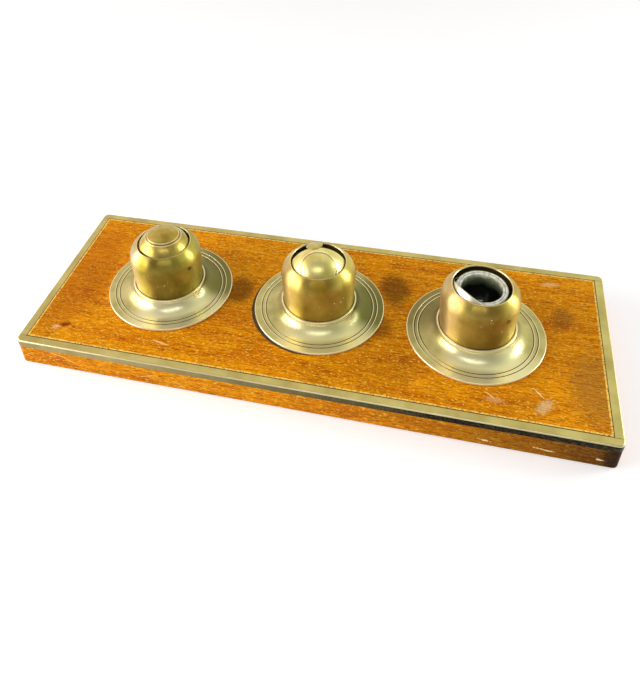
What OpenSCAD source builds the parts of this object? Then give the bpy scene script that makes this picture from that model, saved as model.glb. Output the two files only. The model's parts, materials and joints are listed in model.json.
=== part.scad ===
// Desk inkstand: a brass-edged wooden board with three round brass inkwells.
// Each inkwell drops into a blind hole in the board and lifts out for filling and cleaning.
// Its lid is a thin spherical shell that rolls about two side pins, inside the bell and round the pot.
// The frame: X along the board, Y towards its rear, Z up, origin at the centre of its underside.

/* [Board] */
// Length of the wooden board
board_length = 360; // [340:1:420]
// Width of the wooden board, front to rear
board_w = 134; // [120:1:170]
// Thickness of the wooden board
board_t = 19; // [16:0.5:26]
// Radius of the board's upright corners
board_corner_r = 3.5; // [2:0.5:5]
// Thickness of the baize under the board
baize_t = 0.8; // [0.5:0.1:2]
// How far the baize stops short of the board's edge
baize_inset = 3; // [1:0.5:8]

/* [Edging] */
// Width of the brass angle's top leg
edging_top_w = 5.2; // [4:0.1:7]
// Height of the brass angle's side leg
edging_side_h = 5; // [3.5:0.1:8]
// Thickness of the brass angle
edging_t = 1.2; // [0.8:0.1:1.6]
// Radius that rounds the brass angle's outer edge
edging_round_r = 1; // [0.4:0.1:1.2]
// How far the brass stands proud of the wooden sides
edging_proud = 0.2; // [0:0.1:0.5]
// Width of the boxwood line beside the brass
stringing_w = 1.5; // [1:0.1:3]

/* [Seats] */
// Distance from the outer seats' centres to the ends of the board
seat_end_distance = 80; // [70:1:90]
// Radial play between an inkwell's cup and its hole
seat_play = 3.5; // [2.9:0.1:4.5]
// Air between the cup's floor and the bottom of the hole
seat_floor_gap = 1; // [0.5:0.1:2]
// Thickness of the leather washer under each flange
washer_t = 0.4; // [0.3:0.1:1]
// How far the leather washer stops short of the flange's rim
washer_inset = 1; // [0:0.1:2]
// How far the left inkwell has slid along the board in its hole
left_slide_x = 0.3; // [-1:0.1:1]
// How far the middle inkwell has slid along the board in its hole
middle_slide_x = 2.5; // [-2.5:0.1:2.5]
// How far the right inkwell has slid along the board in its hole
right_slide_x = 0.9; // [-1:0.1:1]
// How far the middle inkwell has slid to the rear in its hole
middle_slide_y = 1.4; // [-1.4:0.1:1.4]
// How far the right inkwell has slid to the rear in its hole
right_slide_y = -0.8; // [-1:0.1:1]
// Which way the left inkwell is turned in its hole, in degrees
left_turn = -27; // [-180:1:180]
// Which way the middle inkwell is turned in its hole, in degrees
middle_turn = 12; // [-180:1:180]
// Which way the right inkwell is turned in its hole, in degrees
right_turn = -45; // [-180:1:180]

/* [Flange] */
// Thickness of the flange's sheet
flange_t = 1; // [0.8:0.1:1.4]
// Radius that rounds the flange's rim
flange_rim_round = 0.45; // [0.2:0.05:0.45]
// Width of the flat lip round the hollow sweep
lip_w = 8; // [6:0.1:9]
// Distance from the foot of the sweep out to the outer engraved line
lip_line_w = 3.2; // [1:0.1:5]
// Half width and depth of the engraved lines
line_cut = 0.22; // [0.1:0.02:0.3]
// Distance from the collar out to the foot of the hollow sweep
sweep_w = 9.2; // [8:0.1:11]
// Height at which the hollow sweep meets the collar
sweep_h = 6.4; // [5.9:0.1:6.5]
// Thickness of the collar where the sweep meets it
collar_w = 2.3; // [2.2:0.1:2.8]
// Radius of the bead round the top of the collar
bead_r = 0.95; // [0.7:0.05:1.1]
// Height of the bead's centre
bead_z = 7.7; // [7.4:0.1:8]
// Height of the ledge inside the collar
ledge_z = 6.4; // [6:0.1:6.8]
// Thickness of the ledge inside the collar
ledge_t = 0.8; // [0.6:0.1:1]

/* [Bell] */
// Thickness of the bell's wall
bell_t = 1; // [0.8:0.1:1.2]
// Room between the lid and the bell's wall, for the spacers
side_room = 3.1; // [2.6:0.1:4]
// How much wider the bell is at its belly than at its foot
bell_flare = 0.8; // [0:0.1:1.2]
// Height at which the bell's straight foot ends
bell_foot_z = 9.1; // [8.8:0.1:11]
// Height of the bell's belly above the lid's pivot
belly_rise = 0.8; // [0.4:0.1:2]
// Radius of the bell's rounded shoulder
shoulder_r = 11.4; // [11:0.1:12]
// How much smaller the bell's mouth is than the lid, in radius
mouth_overlap = 2; // [1.6:0.1:2.4]

/* [Lid] */
// Outer radius of the lid's spherical shell
lid_r = 19; // [17:0.1:21]
// Thickness of the lid's shell
lid_t = 1; // [0.8:0.1:1.2]
// Height of the lid's pivot
pivot_z = 28.6; // [27.6:0.1:32]
// Angle from the lid's crown to its short edge, in degrees
short_edge_angle = 50; // [45:1:54]
// Angle from the lid's crown to its long edge, in degrees
long_edge_angle = 60; // [58:1:62]
// Radius of the round ears at the pivots
ear_r = 3.5; // [3:0.1:5]
// Radius of the inner engraved ring on the crown
ring_inner_r = 10.2; // [9:0.1:10.6]
// Radius of the outer engraved ring on the crown
ring_outer_r = 11.65; // [11.2:0.05:13]
// Radius of the thumb pad on the middle lid
pad_r = 5; // [4:0.1:5.5]
// How far the thumb pad laps onto the lid at its short edge
pad_lap = 1.8; // [1.2:0.1:3]
// Angle by which the thumb pad sits off the lid's centre line, in degrees
pad_swing = 8; // [-10:1:10]
// Height of the thumb pad above the shell
pad_rise = 0.5; // [0.3:0.1:0.5]
// Thickness of the solder under the thumb pad
solder_gap = 0.03; // [0.02:0.01:0.05]
// How far the left lid is rolled open, in degrees
left_open = -2; // [-2:1:98]
// How far the middle lid is rolled open, in degrees
middle_open = 41; // [-2:1:98]
// How far the right lid is rolled open, in degrees
right_open = 97; // [-2:1:98]

/* [Pivots] */
// Radius of the pivot pins
pin_r = 1; // [0.8:0.05:1.2]
// Radial clearance between the lid's ears and the pins
pin_clearance = 0.05; // [0.03:0.01:0.1]
// How far a pin reaches in past the lid's shell
pin_inside = 0.5; // [0.3:0.1:1]
// Radius of the pins' riveted heads
pin_head_r = 1.5; // [1.3:0.1:2]
// Height of the pins' riveted heads
pin_head_h = 0.35; // [0.2:0.05:0.6]
// Radius of the spacer tubes on the pins
spacer_r = 2.3; // [1.8:0.1:2.8]
// End clearance of the spacer tubes
spacer_gap = 0.12; // [0.05:0.01:0.2]

/* [Cup] */
// Width of the cup's rim
cup_rim_w = 1.8; // [1.5:0.1:2.3]
// Thickness of the cup's wall
cup_t = 0.8; // [0.6:0.1:1]
// Depth of the cup below the flange's underside
cup_drop = 7.4; // [6:0.1:9]
// Thickness of the cup's rim
cup_rim_t = 0.6; // [0.5:0.1:0.8]
// Radial clearance of the pieces that slip into each other
slip_fit = 0.05; // [0.03:0.01:0.1]

/* [Pot] */
// Radius of the pot's foot
pot_foot_r = 14; // [11:0.1:17]
// Thickness of the pot's foot at its edge
pot_foot_t = 2; // [1.5:0.1:3]
// Height of the cove between the pot's foot and its stem
pot_cove_h = 5; // [3:0.1:6]
// Radius of the pot's stem
pot_stem_r = 5; // [4:0.1:5.2]
// Clearance between the pot's rim and the inside of the lid
pot_rim_gap = 0.54; // [0.4:0.02:1]
// Clearance between the base of the pot's bowl and the inside of the lid
pot_base_gap = 1.6; // [1:0.1:3]
// Height of the pot's rim above the lid's pivot
pot_rim_rise = 8.6; // [7.6:0.1:8.8]
// Height above the lid's pivot at which the bowl's wall turns upright
pot_wall_rise = 0.4; // [0:0.1:1]
// Thickness of the bowl's wall
pot_wall_t = 3; // [2.6:0.1:4]
// Thickness of the bowl's base
pot_base_t = 2.6; // [2:0.1:4]
// How far the pot's rim stands out past its bowl
pot_rim_proud = 0.2; // [0:0.05:0.3]
// Radius of the rounded outer roll on the pot's rim
rim_roll_r = 0.9; // [0.7:0.05:1]
// Radius of the rounded inner roll on the pot's rim
rim_inner_roll_r = 0.65; // [0.5:0.05:0.7]

/* [Hidden] */
$fn = 96;
// Margin by which a cutter runs past the solid that it cuts
over = 1;
// Segments of a small round and of a large curve in a turned profile
small_steps = 4;
curve_steps = 10;
// Facets of the pins and of the engraved lines
pin_fn = 32;
line_fn = 16;
// Which inkwell: the position in every list of three
LEFT = 0;
MIDDLE = 1;
RIGHT = 2;
board_top = baize_t + board_t;
outer_l = board_length + 2 * edging_proud;
outer_w = board_w + 2 * edging_proud;
outer_corner_r = board_corner_r + edging_proud;
// From the lid outwards: the bell round it, the collar round the bell, and the flange's turned profile
belly_r = lid_r + side_room + bell_t;
bell_foot_r = belly_r - bell_flare;
mouth_r = lid_r - mouth_overlap;
belly_z = pivot_z + belly_rise;
collar_r = bell_foot_r + collar_w;
sweep_foot_r = collar_r + sweep_w;
lip_line_r = sweep_foot_r + lip_line_w;
flange_r = sweep_foot_r + lip_w;
cup_r = bell_foot_r - cup_rim_w;
// The pot fills the sphere inside the lid, less its clearances
pot_top_z = pivot_z + pot_rim_rise;
pot_wall_z = pivot_z + pot_wall_rise;
pot_rim_r = sqrt(pow(lid_r - lid_t - pot_rim_gap, 2) - pot_rim_rise * pot_rim_rise);
pot_bowl_r = pot_rim_r - pot_rim_proud;
pot_mouth_r = pot_bowl_r - pot_wall_t;
pot_base_z = pivot_z - sqrt(pow(lid_r - lid_t - pot_base_gap, 2) - pot_stem_r * pot_stem_r);
pot_bowl_h = pot_wall_z - pot_base_z;
pot_inside_h = pot_bowl_h - pot_base_t;
seat_hole_r = cup_r + seat_play;
seat_hole_depth = cup_drop - washer_t + seat_floor_gap;
seat_pitch = board_length / 2 - seat_end_distance;
seat_x = [-seat_pitch, 0, seat_pitch];
slide_x = [left_slide_x, middle_slide_x, right_slide_x];
slide_y = [0, middle_slide_y, right_slide_y];
turn = [left_turn, middle_turn, right_turn];
lid_open = [left_open, middle_open, right_open];
// The sweep is an arc that springs level from the lip and ends at the collar
sweep_rise = sweep_h - flange_t;
sweep_r = (sweep_w * sweep_w + sweep_rise * sweep_rise) / (2 * sweep_rise);
sweep_centre = [sweep_foot_r, flange_t + sweep_r];
collar_bore_r = bell_foot_r + slip_fit;
ledge_bore_r = cup_r + slip_fit;
// The bell stands on the cup's rim, which stands on the ledge
cup_rim_top = ledge_z + cup_rim_t;
shoulder_centre = [belly_r - shoulder_r, belly_z];
mouth_cap_r = bell_t / 2;
mouth_angle = acos((mouth_r + mouth_cap_r - shoulder_centre.x) / (shoulder_r - mouth_cap_r));
mouth_cap = shoulder_centre + (shoulder_r - mouth_cap_r) * [cos(mouth_angle), sin(mouth_angle)];
// The bell's outer radius at the pivot, on the straight line from its foot to its belly
bell_pivot_r = bell_foot_r + (belly_r - bell_foot_r) * (pivot_z - bell_foot_z) / (belly_z - bell_foot_z);
spacer_end = sqrt(pow(bell_pivot_r - bell_t, 2) - spacer_r * spacer_r) - spacer_gap;
cup_floor_z = cup_t - cup_drop;

// Points on an arc about c from angle a to angle b
function arc(c, r, a, b, steps) =
    [for (i = [0 : steps]) c + r * [cos(a + (b - a) * i / steps), sin(a + (b - a) * i / steps)]];

// Points on a quarter ellipse from its lowest point out to its widest, or back
function ellipse_arc(c, rx, rz, a, b, steps) =
    [for (i = [0 : steps]) c + [rx * cos(a + (b - a) * i / steps), rz * sin(a + (b - a) * i / steps)]];

// A rectangle with true round corners
module rounded_plan(l, w, r) {
    square([l - 2 * r, w], center = true);
    square([l, w - 2 * r], center = true);
    for (x = [-1, 1], y = [-1, 1])
        translate([x * (l / 2 - r), y * (w / 2 - r)]) circle(r = r);
}

// Puts its children at an inkwell's place on the board, turned as it sits
module at_seat(i) {
    translate([seat_x[i], 0, board_top]) children();
}

module at_unit(i) {
    translate([seat_x[i] + slide_x[i], slide_y[i], board_top + washer_t])
        rotate([0, 0, turn[i]]) children();
}

// Turns a shape drawn along Z to lie along the lid's axis, at both pivots
module at_pivots() {
    for (side = [0, 180])
        translate([0, 0, pivot_z]) rotate([0, 0, side]) rotate([0, 90, 0]) children();
}

module board() {
    inner = edging_top_w - edging_proud + stringing_w;
    leg = edging_t - edging_proud;
    color("sienna") difference() {
        translate([0, 0, baize_t]) linear_extrude(board_t)
            rounded_plan(board_length, board_w, board_corner_r);
        // The rebate that the side legs fill
        translate([0, 0, board_top - edging_side_h]) difference() {
            translate([0, 0, edging_side_h / 2 + over / 2])
                cube([board_length + over, board_w + over, edging_side_h + over], center = true);
            translate([0, 0, edging_side_h / 2])
                cube([board_length - 2 * leg, board_w - 2 * leg, edging_side_h + 4 * over], center = true);
        }
        // The shallower rebate that the top legs and the boxwood lines fill
        translate([0, 0, board_top - edging_t]) difference() {
            translate([0, 0, edging_t / 2 + over / 2])
                cube([board_length + over, board_w + over, edging_t + over], center = true);
            translate([0, 0, edging_t / 2])
                cube([board_length - 2 * inner, board_w - 2 * inner, edging_t + 4 * over], center = true);
        }
        for (i = [LEFT : RIGHT]) at_seat(i) translate([0, 0, -seat_hole_depth])
            cylinder(r = seat_hole_r, h = seat_hole_depth + over);
    }
}

module baize_pad() {
    color("darkgreen") linear_extrude(baize_t)
        rounded_plan(board_length - 2 * baize_inset, board_w - 2 * baize_inset, board_corner_r);
}

// A length of brass angle along X, its outer edge on the origin and its legs towards +Y and -Z
module angle_strip(top_l, side_l) {
    top_leg = concat(
        [[0, -edging_t]],
        arc([edging_round_r, -edging_round_r], edging_round_r, 180, 90, small_steps),
        [[edging_top_w, 0], [edging_top_w, -edging_t]]);
    rotate([90, 0, 90]) {
        linear_extrude(top_l, center = true) polygon(top_leg);
        linear_extrude(side_l, center = true)
            translate([0, -edging_side_h]) square([edging_t, edging_side_h - edging_t]);
        // The corner that both legs share, as long as the shorter of them
        linear_extrude(min(top_l, side_l), center = true)
            translate([0, -edging_side_h]) square([edging_t, edging_side_h - edging_round_r]);
    }
}

// Front and rear strips run the full length, and the end strips butt between their top legs
module long_edging() {
    color("darkkhaki") intersection() {
        translate([0, -outer_w / 2, board_top]) angle_strip(outer_l, outer_l);
        translate([0, 0, baize_t]) linear_extrude(board_t + over)
            rounded_plan(outer_l, outer_w, outer_corner_r);
    }
}

module end_edging() {
    color("darkkhaki") intersection() {
        rotate([0, 0, -90]) translate([0, -outer_l / 2, board_top])
            angle_strip(outer_w - 2 * edging_top_w, outer_w - 2 * edging_t);
        translate([0, 0, baize_t]) linear_extrude(board_t + over)
            rounded_plan(outer_l, outer_w, outer_corner_r);
    }
}

module stringing(l, inset) {
    color("burlywood") translate([-l / 2, inset, board_top - edging_t]) cube([l, stringing_w, edging_t]);
}

module long_stringing() {
    stringing(outer_l - 2 * edging_top_w, edging_top_w - outer_w / 2);
}

module end_stringing() {
    rotate([0, 0, -90]) stringing(outer_w - 2 * edging_top_w - 2 * stringing_w, edging_top_w - outer_l / 2);
}

module seat_washer(i) {
    color("saddlebrown") at_seat(i) difference() {
        cylinder(r = flange_r - washer_inset, h = washer_t);
        translate([0, 0, -over]) cylinder(r = seat_hole_r, h = washer_t + 2 * over);
    }
}

// The flange is one turned profile: flat lip, hollow sweep, collar with its bead, and inner ledge
module flange(i) {
    rim_c = [flange_r - flange_rim_round, flange_t - flange_rim_round];
    under_r = sweep_r + flange_t;
    sweep_end = 270 - asin(sweep_w / sweep_r);
    under_end = 180 + asin((sweep_centre.y - (ledge_z - ledge_t)) / under_r);
    profile = concat(
        [[flange_r, 0]],
        arc(rim_c, flange_rim_round, 0, 90, small_steps),
        arc(sweep_centre, sweep_r, 270, sweep_end, 2 * curve_steps),
        [[collar_bore_r + 2 * bead_r - bead_r / 2, sweep_h]],
        arc([collar_bore_r + bead_r, bead_z], bead_r, -60, 180, 2 * small_steps),
        [[collar_bore_r, ledge_z], [ledge_bore_r, ledge_z], [ledge_bore_r, ledge_z - ledge_t]],
        arc(sweep_centre, under_r, under_end, 270, 2 * curve_steps));
    color("darkkhaki") at_unit(i) difference() {
        rotate_extrude() polygon(profile);
        for (r = [sweep_foot_r, lip_line_r])
            translate([0, 0, flange_t]) rotate_extrude() translate([r, 0])
                circle(r = line_cut, $fn = line_fn);
    }
}

// The cup hangs by its rim between the flange's ledge and the bell's foot
module cup(i) {
    color("goldenrod") at_unit(i) rotate_extrude() polygon([
        [0, -cup_drop], [cup_r, -cup_drop], [cup_r, ledge_z], [bell_foot_r, ledge_z],
        [bell_foot_r, cup_rim_top], [cup_r - cup_t, cup_rim_top],
        [cup_r - cup_t, cup_floor_z], [0, cup_floor_z]]);
}

// The bell is a spun shell with a straight foot, a slight flare, a round shoulder and a rolled mouth
module bell(i) {
    profile = concat(
        [[bell_foot_r, cup_rim_top], [bell_foot_r, bell_foot_z]],
        arc(shoulder_centre, shoulder_r, 0, mouth_angle, curve_steps),
        arc(mouth_cap, mouth_cap_r, mouth_angle, mouth_angle + 180, 2 * small_steps),
        arc(shoulder_centre, shoulder_r - bell_t, mouth_angle, 0, curve_steps),
        [[bell_foot_r - bell_t, bell_foot_z], [bell_foot_r - bell_t, cup_rim_top]]);
    color("peru") at_unit(i) difference() {
        rotate_extrude() polygon(profile);
        at_pivots() cylinder(r = pin_r, h = belly_r + over, $fn = pin_fn);
    }
}

module pivot_pins(i) {
    inner = lid_r - lid_t - pin_inside;
    color("goldenrod") at_unit(i) at_pivots() {
        translate([0, 0, inner]) cylinder(r = pin_r, h = bell_pivot_r - inner + pin_head_h / 2, $fn = pin_fn);
        translate([0, 0, bell_pivot_r]) cylinder(r = pin_head_r, h = pin_head_h, $fn = pin_fn);
    }
}

module spacers(i) {
    start = lid_r + spacer_gap;
    color("goldenrod") at_unit(i) at_pivots() translate([0, 0, start]) difference() {
        cylinder(r = spacer_r, h = spacer_end - start, $fn = pin_fn);
        translate([0, 0, -over]) cylinder(r = pin_r, h = spacer_end - start + 2 * over, $fn = pin_fn);
    }
}

// The pot stands on a stem, which passes through the open underside of the lid's sphere
module pot(i) {
    roll = [pot_rim_r - rim_roll_r, pot_top_z - rim_roll_r];
    inner_roll = [pot_mouth_r + rim_inner_roll_r, pot_top_z - rim_roll_r];
    foot_top = cup_floor_z + pot_foot_t;
    foot_round = pot_foot_t / 2;
    foot_edge = pot_foot_r - foot_round;
    profile = concat(
        [[0, cup_floor_z], [foot_edge + foot_round / 2, cup_floor_z]],
        arc([foot_edge, cup_floor_z + foot_round], foot_round, -60, 90, small_steps),
        ellipse_arc([foot_edge, foot_top + pot_cove_h], foot_edge - pot_stem_r, pot_cove_h,
            270, 180, curve_steps),
        ellipse_arc([pot_stem_r, pot_wall_z], pot_bowl_r - pot_stem_r, pot_bowl_h, 270, 360, curve_steps),
        arc(roll, rim_roll_r, 0, 140, 2 * small_steps),
        arc(inner_roll, rim_inner_roll_r, 60, 180, small_steps),
        ellipse_arc([0, pot_wall_z], pot_mouth_r, pot_inside_h, 360, 270, curve_steps));
    color("gainsboro") at_unit(i) rotate_extrude() polygon(profile);
}

// The part of the sphere between two planes through the pivots, as a prism along them
module lid_wedge() {
    reach = 2 * lid_r;
    rotate([90, 0, 90]) linear_extrude(2 * reach, center = true) polygon([
        [0, 0],
        reach * [sin(short_edge_angle), cos(short_edge_angle)],
        [0, reach],
        reach * [-sin(long_edge_angle), cos(long_edge_angle)]]);
}

// The lid in its closed place about the pivot
module lid_shell() {
    difference() {
        intersection() {
            rotate([0, 90, 0]) sphere(r = lid_r);
            union() {
                lid_wedge();
                rotate([0, 90, 0]) cylinder(r = ear_r, h = 4 * lid_r, center = true);
            }
        }
        rotate([0, 90, 0]) sphere(r = lid_r - lid_t);
        for (r = [ring_inner_r, ring_outer_r])
            translate([0, 0, sqrt(lid_r * lid_r - r * r)]) rotate_extrude() translate([r, 0])
                circle(r = line_cut, $fn = line_fn);
        rotate([0, 90, 0]) cylinder(r = pin_r + pin_clearance, h = 4 * lid_r, center = true, $fn = pin_fn);
    }
}

// Rolls its children open about the pivot, as the lid stands
module at_lid(i) {
    at_unit(i) translate([0, 0, pivot_z]) rotate([lid_open[i], 0, 0]) children();
}

module lid(i) {
    color("darkkhaki") at_lid(i) lid_shell();
}

// A round dished pad, soldered over the lid's short edge, by which a thumb rolls the lid
module thumb_pad(i) {
    spread = asin(pad_r / lid_r);
    edge_round = asin(pad_rise / lid_r);
    centre_angle = short_edge_angle + spread - asin(pad_lap / lid_r);
    color("goldenrod") at_lid(i) rotate([0, 0, pad_swing]) rotate([-centre_angle, 0, 0])
        rotate_extrude() polygon(concat(
            arc([0, 0], lid_r + solder_gap, 90, 90 - spread, small_steps),
            [(lid_r + pad_rise / 2) * [sin(spread), cos(spread)]],
            arc([0, 0], lid_r + pad_rise, 90 - spread + edge_round, 90, small_steps)));
}

board();
baize_pad();
long_edging();  // edging_front
mirror([0, 1, 0]) long_edging();  // edging_rear
end_edging();  // edging_left
mirror([1, 0, 0]) end_edging();  // edging_right
long_stringing();  // stringing_front
mirror([0, 1, 0]) long_stringing();  // stringing_rear
end_stringing();  // stringing_left
mirror([1, 0, 0]) end_stringing();  // stringing_right
seat_washer(LEFT);  // seat_washer_left
seat_washer(MIDDLE);  // seat_washer_middle
seat_washer(RIGHT);  // seat_washer_right
flange(LEFT);  // flange_left
flange(MIDDLE);  // flange_middle
flange(RIGHT);  // flange_right
cup(LEFT);  // cup_left
cup(MIDDLE);  // cup_middle
cup(RIGHT);  // cup_right
bell(LEFT);  // bell_left
bell(MIDDLE);  // bell_middle
bell(RIGHT);  // bell_right
pivot_pins(LEFT);  // pivot_pins_left
pivot_pins(MIDDLE);  // pivot_pins_middle
pivot_pins(RIGHT);  // pivot_pins_right
spacers(LEFT);  // spacers_left
spacers(MIDDLE);  // spacers_middle
spacers(RIGHT);  // spacers_right
pot(LEFT);  // pot_left
pot(MIDDLE);  // pot_middle
pot(RIGHT);  // pot_right
lid(LEFT);  // lid_left
lid(MIDDLE);  // lid_middle
lid(RIGHT);  // lid_right
thumb_pad(MIDDLE);
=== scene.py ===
"""Looks of a desk inkstand: a brass-edged mahogany board with three round brass inkwells.

Sizes are millimetres unless a name or comment says otherwise, and meshes are made in metres.
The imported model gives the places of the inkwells, their turns and how far each lid is open.
"""

from __future__ import annotations

import json
import logging
import math
import random
from collections.abc import Callable
from dataclasses import dataclass, field
from enum import Enum
from functools import partial

import bmesh
import bpy
from mathutils import Euler, Matrix, Vector, noise

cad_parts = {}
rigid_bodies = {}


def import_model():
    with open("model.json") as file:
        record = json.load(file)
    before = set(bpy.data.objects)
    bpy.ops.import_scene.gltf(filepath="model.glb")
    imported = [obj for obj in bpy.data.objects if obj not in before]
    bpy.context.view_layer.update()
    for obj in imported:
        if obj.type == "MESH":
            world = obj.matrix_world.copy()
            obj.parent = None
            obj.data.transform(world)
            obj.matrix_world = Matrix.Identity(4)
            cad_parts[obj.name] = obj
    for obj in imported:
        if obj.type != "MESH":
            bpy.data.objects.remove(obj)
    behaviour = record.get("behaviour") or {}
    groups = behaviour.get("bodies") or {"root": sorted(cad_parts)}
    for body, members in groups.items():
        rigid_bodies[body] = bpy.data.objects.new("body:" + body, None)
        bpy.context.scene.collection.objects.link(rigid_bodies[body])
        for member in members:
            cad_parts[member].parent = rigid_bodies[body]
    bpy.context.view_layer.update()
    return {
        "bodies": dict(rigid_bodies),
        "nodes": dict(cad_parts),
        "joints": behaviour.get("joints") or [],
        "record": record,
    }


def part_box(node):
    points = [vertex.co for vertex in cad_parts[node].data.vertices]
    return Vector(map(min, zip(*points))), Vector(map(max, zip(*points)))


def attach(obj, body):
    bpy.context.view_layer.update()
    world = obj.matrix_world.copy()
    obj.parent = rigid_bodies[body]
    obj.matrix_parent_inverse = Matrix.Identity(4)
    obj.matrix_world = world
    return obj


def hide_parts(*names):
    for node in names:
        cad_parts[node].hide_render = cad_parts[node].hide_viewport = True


LOG = logging.getLogger("inkstand")
MM = 0.001
Pair = tuple[float, float]
Point = Pair
Triple = tuple[float, float, float]
Ring = list[Vector]
Adder = Callable[..., bpy.types.Node]
Values = dict[str | int, object]

# The numbers of a colour Mix node's inputs: factor, first colour, second colour
MIX_FACTOR, MIX_A, MIX_B = 0, 6, 7
# Pale brass for wear from handling and for painted highlights on rims, beads, arrises and beside engraved
# lines
WEAR_AND_HIGHLIGHT_BRASS = "#FFF3CC"
# How far past closed, in degrees, the lids' closed stop lies
CLOSED_STOP = -2.0


class Side(Enum):
    """One of the three inkwells, by its place along the board."""

    LEFT = "left"
    MIDDLE = "middle"
    RIGHT = "right"


def linear(hex_colour: str) -> tuple[float, float, float, float]:
    """Turns an sRGB hex colour into the linear RGBA that Blender's sockets hold.

    Args:
        hex_colour: Six hex digits after a hash, such as "#C08040".

    Returns:
        Red, green, blue and an alpha of 1.
    """
    parts = [int(hex_colour[i:i + 2], 16) / 255 for i in (1, 3, 5)]
    red, green, blue = (c / 12.92 if c <= 0.04045 else ((c + 0.055) / 1.055) ** 2.4 for c in parts)
    return red, green, blue, 1.0


def add_node(
    tree: bpy.types.NodeTree,
    kind: str,
    inputs: Values | None = None,
    stops: list[tuple[float, str]] | None = None,
    **settings: object,
) -> bpy.types.Node:
    """Adds a node to a tree, with its settings, values and links.

    Args:
        tree: The shader or geometry tree.
        kind: The node's type name.
        inputs: Values, sockets or other nodes, by the input's name or number. A node gives its first
            output in use.
        stops: The positions and hex colours of a colour ramp.
        settings: Properties of the node and their values.

    Returns:
        The new node.
    """
    node = tree.nodes.new(kind)
    for key, value in settings.items():
        setattr(node, key, value)
    for key, value in (inputs or {}).items():
        if isinstance(value, bpy.types.Node):
            value = next(socket for socket in value.outputs if socket.enabled)
        if isinstance(value, bpy.types.NodeSocket):
            tree.links.new(value, node.inputs[key])
        else:
            node.inputs[key].default_value = value
    if stops:
        ramp = node.color_ramp
        while len(ramp.elements) < len(stops):
            ramp.elements.new(1.0)
        for element, (position, colour) in zip(ramp.elements, stops):
            element.position = position
            element.color = linear(colour)
    return node


def ellipse(centre: Point, rx: float, rz: float, start: float, end: float, steps: int) -> list[Point]:
    """Points on a piece of an ellipse.

    Args:
        centre: The ellipse's centre.
        rx: Its half width.
        rz: Its half height.
        start: The first point's angle in degrees.
        end: The last point's angle in degrees.
        steps: How many segments the piece has.

    Returns:
        The points, from start to end.
    """
    angles = [math.radians(start + (end - start) * i / steps) for i in range(steps + 1)]
    return [(centre[0] + rx * math.cos(a), centre[1] + rz * math.sin(a)) for a in angles]


def arc(centre: Point, radius: float, start: float, end: float, steps: int) -> list[Point]:
    """Points on an arc, given as a piece of an ellipse is."""
    return ellipse(centre, radius, radius, start, end, steps)


def subdivide(profile: list[Point], longest: float) -> list[Point]:
    """Splits the long segments of a closed profile, so that dents can bend them.

    Args:
        profile: The profile's corners, without the first repeated at the end.
        longest: The longest segment to leave.

    Returns:
        The finer profile, closed by its first point.
    """
    finer: list[Point] = []
    for a, b in zip(profile, profile[1:] + profile[:1]):
        parts = max(1, math.ceil(math.dist(a, b) / longest))
        finer += [(a[0] + (b[0] - a[0]) * i / parts, a[1] + (b[1] - a[1]) * i / parts) for i in range(parts)]
    return finer + finer[:1]


def smooth_step(value: float) -> float:
    """A number from 0 to 1 eased at both ends."""
    t = min(1.0, max(0.0, value))
    return t * t * (3 - 2 * t)


def mesh_object(name: str, points: list[Vector], faces: list[tuple[int, ...]]) -> bpy.types.Object:
    """Makes a mesh object at the origin and puts it in the scene.

    Args:
        name: The piece's name.
        points: Its vertices in metres.
        faces: Its faces, anticlockwise from outside.

    Returns:
        The new object.
    """
    mesh = bpy.data.meshes.new(name)
    mesh.from_pydata([tuple(p) for p in points], [], faces)
    mesh.validate()
    piece = bpy.data.objects.new(name, mesh)
    bpy.context.scene.collection.objects.link(piece)
    return piece


def settle(piece: bpy.types.Object, place: Matrix | None = None) -> None:
    """Applies a piece's modifiers to its mesh and moves the mesh to its place.

    Args:
        piece: The object, which stays at the origin.
        place: Where its mesh goes, in metres.
    """
    bpy.context.view_layer.update()
    evaluated = piece.evaluated_get(bpy.context.evaluated_depsgraph_get())
    plain = bpy.data.meshes.new_from_object(evaluated)
    old = piece.data
    piece.modifiers.clear()
    piece.data = plain
    bpy.data.meshes.remove(old)
    plain.name = piece.name
    if place is not None:
        plain.transform(place)


def shade_by_angle(piece: bpy.types.Object, angle: float) -> None:
    """Smooths a mesh except where its faces meet at more than an angle in degrees."""
    piece.data.shade_smooth()
    piece.data.set_sharp_from_angle(angle=math.radians(angle))


def clean(piece: bpy.types.Object, merge: float = 0.002) -> None:
    """Merges a mesh's doubled points and turns its faces outwards.

    Args:
        piece: The object.
        merge: The distance in millimetres within which points merge.
    """
    work = bmesh.new()
    work.from_mesh(piece.data)
    bmesh.ops.remove_doubles(work, verts=work.verts, dist=merge * MM)
    bmesh.ops.dissolve_degenerate(work, edges=work.edges, dist=merge * MM / 4)
    bmesh.ops.recalc_face_normals(work, faces=work.faces)
    work.to_mesh(piece.data)
    work.free()


def keep_side(piece: bpy.types.Object, point: Vector, outward: Vector) -> None:
    """Cuts a closed mesh by a plane and keeps the side that the normal points to, closed again."""
    work = bmesh.new()
    work.from_mesh(piece.data)
    everything = work.verts[:] + work.edges[:] + work.faces[:]
    cut = bmesh.ops.bisect_plane(work, geom=everything, plane_co=point * MM, plane_no=outward,
                                 clear_inner=True, dist=1e-7)
    edges = [e for e in cut["geom_cut"] if isinstance(e, bmesh.types.BMEdge)]
    bmesh.ops.holes_fill(work, edges=edges, sides=0)
    work.to_mesh(piece.data)
    work.free()


def hand_over(piece: bpy.types.Object, body: str, slot: str, *nodes: str) -> None:
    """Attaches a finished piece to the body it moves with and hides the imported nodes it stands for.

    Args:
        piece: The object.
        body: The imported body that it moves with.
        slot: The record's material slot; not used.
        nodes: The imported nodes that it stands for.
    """
    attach(piece, body)
    if nodes:
        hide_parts(*nodes)
    LOG.info("%s: %d faces", piece.name, len(piece.data.polygons))


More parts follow.
